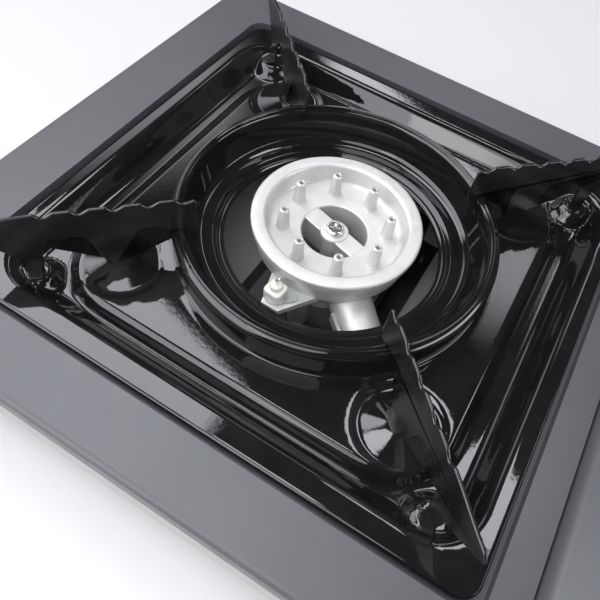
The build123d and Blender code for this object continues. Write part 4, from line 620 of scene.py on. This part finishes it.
# %% [markdown]
# ## Burner cap
# Casting leaves no sharp corner, so the cap is turned from profiles whose corners are all
# arcs: the ring with its dish, the hub for the screw, and a jet with a flared root.

# %% Burner cap: the profiles
RIM_Z, DISH_Z = 79.8, 70.6
cap_profile = rounded_corners(
    [(15.0, 68.4), (32.4, 68.4), (33.6, 76.8), (38.0, 76.8), (38.0, RIM_Z), (31.7, RIM_Z),
     (30.4, DISH_Z), (15.0, DISH_Z)],
    [0.4, 0.8, 0.3, 0.5, 1.1, 1.5, 2.6, 0.8],
)
jet_profile = rounded_corners(
    [(1.0, 69.6), (4.2, 69.6), (2.95, 71.0), (2.1, RIM_Z + 2.1), (1.0, RIM_Z + 2.1)],
    [0.1, 0.3, 1.6, 0.85, 0.35],
)
hub_profile = rounded_corners(
    [(1.9, 68.4), (6.5, 68.4), (6.5, 70.8), (1.9, 70.8)], [0.3, 0.3, 0.9, 0.3],
)
bridge_outline = rounded_corners([(-15.6, -4.5), (15.6, -4.5), (15.6, 4.5), (-15.6, 4.5)], 0.7)
print("cap", round(2 * float(cap_profile[:, 0].max()), 1), "mm across")

# %% [markdown]
# Eight jets stand in the dish at equal angles, and a flat bridge carries the hub across the
# middle air opening, in line with the first jet.

# %% Burner cap: the piece
JETS, JET_AT, FIRST_JET = 8, 23.5, math.radians(-15.5)
BRIDGE_T, BRIDGE_EDGE, BRIDGE_Z = 1.6, 0.5, 69.2
cap_parts = [lathe(cap_profile, 128, AXIS), lathe(hub_profile, 48, AXIS)]
for turn in FIRST_JET + np.arange(JETS) * 2 * math.pi / JETS:
    at = AXIS + JET_AT * np.array([math.cos(turn), math.sin(turn)])
    cap_parts.append(lathe(jet_profile, 40, at))
along = np.array([math.cos(FIRST_JET), math.sin(FIRST_JET), 0.0])
across = np.array([-math.sin(FIRST_JET), math.cos(FIRST_JET), 0.0])
cap_parts.append(
    slab(bridge_outline, BRIDGE_T, BRIDGE_EDGE, (*AXIS, BRIDGE_Z), along, across)
)
piece("cast_burner_cap", cap_parts, "chassis", slot_of["burner_cap"], "burner_cap",
      capped=True)

# %% [markdown]
# ## Stage
# A plain pale floor under the stove, wide enough to fill the view. It takes the soft shadow
# that makes the stove stand on something.

# %% Floor
CORNERS = [(-1, -1), (1, -1), (1, 1), (-1, 1)]
FLOOR_HALF = 4                                # m
floor_mesh = bpy.data.meshes.new("floor")
floor_mesh.from_pydata(
    [(a * FLOOR_HALF, b * FLOOR_HALF, 0) for a, b in CORNERS], [], [(0, 1, 2, 3)],
)
floor = bpy.data.objects.new("floor", floor_mesh)
bpy.context.scene.collection.objects.link(floor)
floor_finish = bpy.data.materials.new("pale_floor")
floor_finish.use_nodes = True
floor_shader = floor_finish.node_tree.nodes["Principled BSDF"]
floor_shader.inputs["Base Color"].default_value = (0.84, 0.84, 0.85, 1)
floor_shader.inputs["Roughness"].default_value = 0.6
floor_mesh.materials.append(floor_finish)
print("floor", 2 * FLOOR_HALF, "m square")

# %% [markdown]
# ## Light
# The enamel is a dark mirror that gives back about a twentieth of what it faces. So the
# studio is planned as a picture of the sky over the stove: a few glowing cards with soft
# edges, each at its place, and little light between them. The cards are there for mirror
# images alone. The camera doesn't see them, and matt surfaces get no light from them.


# %% Glow of a card
def card_glow(name, glow, soft):
    """Glowing material for a card, on its UV map "card".

    The glow rises smoothly from the left, right, lower and upper edge, each over its share
    of the card, and the four rises are multiplied.
    """
    glass = bpy.data.materials.new(name)
    glass.use_nodes = True
    tree = glass.node_tree
    tree.nodes.clear()
    spread = tree.nodes.new("ShaderNodeUVMap")
    spread.uv_map = "card"
    parts = tree.nodes.new("ShaderNodeSeparateXYZ")
    tree.links.new(spread.outputs["UV"], parts.inputs["Vector"])
    left, right, lower, upper = soft
    ends = [("X", 0.0, left), ("X", 1.0, 1 - right), ("Y", 0.0, lower), ("Y", 1.0, 1 - upper)]
    strength = None
    for axis, start, full in ends:
        edge = tree.nodes.new("ShaderNodeMapRange")
        edge.interpolation_type = "SMOOTHSTEP"
        edge.inputs["From Min"].default_value = start
        edge.inputs["From Max"].default_value = full
        edge.inputs["To Max"].default_value = glow if strength is None else 1.0
        tree.links.new(parts.outputs[axis], edge.inputs["Value"])
        if strength is None:
            strength = edge.outputs["Result"]
            continue
        product = tree.nodes.new("ShaderNodeMath")
        product.operation = "MULTIPLY"
        tree.links.new(strength, product.inputs[0])
        tree.links.new(edge.outputs["Result"], product.inputs[1])
        strength = product.outputs["Value"]
    lamp = tree.nodes.new("ShaderNodeEmission")
    lamp.inputs["Color"].default_value = (0.93, 0.95, 1.0, 1)
    tree.links.new(strength, lamp.inputs["Strength"])
    out = tree.nodes.new("ShaderNodeOutputMaterial")
    tree.links.new(lamp.outputs["Emission"], out.inputs["Surface"])
    return glass


print("glow helper ready")

# %% [markdown]
# A card is placed in one of two ways. A box that hangs flat under the ceiling is given by its
# place and sides, since its straight edges show in the pan. A window is given by where it
# stands in the sky and how large it looks from the stove.

# %% Card helpers
STOVE = np.array([-28.0, 8.0, 70.0])
CARD_FAR = 1500.0                             # mm from the stove


def card(name, centre, side, rise, glow, soft):
    """Glowing plane given by its centre and two half sides, mm from the stove."""
    corners = [STOVE + centre + a * side + b * rise for a, b in CORNERS]
    mesh = bpy.data.meshes.new(name)
    mesh.from_pydata((np.array(corners) * MM).tolist(), [], [(0, 1, 2, 3)])
    layer = mesh.uv_layers.new(name="card")
    layer.data.foreach_set("uv", [0, 0, 1, 0, 1, 1, 0, 1])
    mesh.materials.append(card_glow(name, glow, soft))
    obj = bpy.data.objects.new(name, mesh)
    bpy.context.scene.collection.objects.link(obj)
    obj.visible_camera = False
    obj.visible_diffuse = False


def sky_direction(azimuth, elevation):
    """Unit vector from the stove: azimuth 0 is back, 90 right, both angles in degrees."""
    a, e = math.radians(azimuth), math.radians(elevation)
    return np.array([math.sin(a) * math.cos(e), math.cos(a) * math.cos(e), math.sin(e)])


def sky_card(name, azimuth, elevation, wide, tall, glow, soft):
    """Card that faces the stove, wide and tall in degrees.

    A half side is the card's distance times the tangent of half its angle.
    """
    toward = sky_direction(azimuth, elevation)
    level = unit(np.cross(toward, [0, 0, 1]))
    upward = np.cross(level, toward)
    card(name, toward * CARD_FAR, level * CARD_FAR * math.tan(math.radians(wide / 2)),
         upward * CARD_FAR * math.tan(math.radians(tall / 2)), glow, soft)


print("card helpers ready")

# %% Cards
# name, centre, half side, half rise (mm), glow, and the soft shares of the four edges
BOXES = [
    ("key_box", (-1010, 382), (690, -198), (0, 350), 7.6, (0.1, 0.05, 0.1, 0.06)),
    ("middle_box", (-170, 120), (230, 0), (0, 130), 11.0, (0.02, 0.12, 0.15, 0.15)),
    ("small_box", (285, 650), (285, -57), (0, 132), 9.6, (0.04, 0.1, 0.08, 0.08)),
    ("back_box", (-392, 1959), (640, -305), (52, 110), 7.4, (0.15, 0.04, 0.12, 0.3)),
]
for name, centre, side, rise, glow, soft in BOXES:
    card(name, np.array([*centre, CARD_FAR]), np.array([*side, 0.0]), np.array([*rise, 0.0]),
         glow, soft)

# name, azimuth, elevation, width and height (degrees), glow, and the soft shares
WINDOWS = [
    ("left_window", -127, 29, 88, 60, 5.6, (0.1, 0.1, 0.1, 0.1)),
    ("right_window", 80, 12, 50, 26, 7.0, (0.15, 0.15, 0.15, 0.15)),
    ("grey_card_left", -47, 38, 26, 18, 3.0, (0.2, 0.3, 0.2, 0.6)),
    ("grey_card_right", 8, 47, 12, 15, 4.2, (0.3, 0.3, 0.2, 0.6)),
]
for window in WINDOWS:
    sky_card(*window)
print("cards placed:", len(BOXES) + len(WINDOWS))

# %% [markdown]
# ## Room
# One even glow stands for the room's pale walls. Matt surfaces get most of their light from
# it and the camera sees it nearly white, but mirror images see it dark, so that the enamel
# stays black between the cards.

# %% Room
ROOM_DIFFUSE, ROOM_GLOSSY, ROOM_CAMERA = 0.74, 0.07, 0.93
world = bpy.data.worlds.new("room")
bpy.context.scene.world = world
world.use_nodes = True
room = world.node_tree
sky = room.nodes["Background"]
sky.inputs["Color"].default_value = (0.95, 0.96, 1.0, 1)
rays_seen = room.nodes.new("ShaderNodeLightPath")


def ray_choice(ray, chosen, otherwise):
    """Value for one kind of ray, and another value or socket for all the rest."""
    mix = room.nodes.new("ShaderNodeMix")
    mix.inputs["B"].default_value = chosen
    if isinstance(otherwise, float):
        mix.inputs["A"].default_value = otherwise
    else:
        room.links.new(otherwise, mix.inputs["A"])
    room.links.new(rays_seen.outputs[ray], mix.inputs["Factor"])
    return mix.outputs["Result"]


room_glow = ray_choice("Is Glossy Ray", ROOM_GLOSSY, ROOM_DIFFUSE)
room_glow = ray_choice("Is Camera Ray", ROOM_CAMERA, room_glow)
room.links.new(room_glow, sky.inputs["Strength"])
print("room glows at", ROOM_DIFFUSE, "on matt surfaces and", ROOM_GLOSSY, "in mirror images")

# %% [markdown]
# ## Lamps
# A small fill beside the lens opens the shadows in the burner's hole. A large overhead box
# gives the matt plate and the cast cap their light from one side, and is hidden from mirror
# images, where the key box stands for it.


# %% Lamps
def area_lamp(name, shape, size, energy, place, looks):
    """Area lamp: its size in m, its energy in W, its place in mm and its direction."""
    lamp = bpy.data.lights.new(name, "AREA")
    lamp.shape = shape
    lamp.size, lamp.size_y = size
    lamp.energy = energy
    obj = bpy.data.objects.new(name, lamp)
    bpy.context.scene.collection.objects.link(obj)
    obj.matrix_world = turned_matrix(place, looks, 0.0)
    return obj


area_lamp("fill", "DISK", (0.22, 0.22), 0.45, CAMERA_AT + np.array([-40, -60, 60]), LOOKS)
overhead = area_lamp("overhead_box", "RECTANGLE", (1.1, 0.7), 9.5,
                     np.array([-700.0, 250.0, 1500.0]), np.array([0.42, -0.15, -0.9]))
overhead.visible_glossy = False
print("fill and overhead lamp ready")

# %% [markdown]
# ## End of the scene
# The second has to lie inside the first.

# %% End
print("scene built")
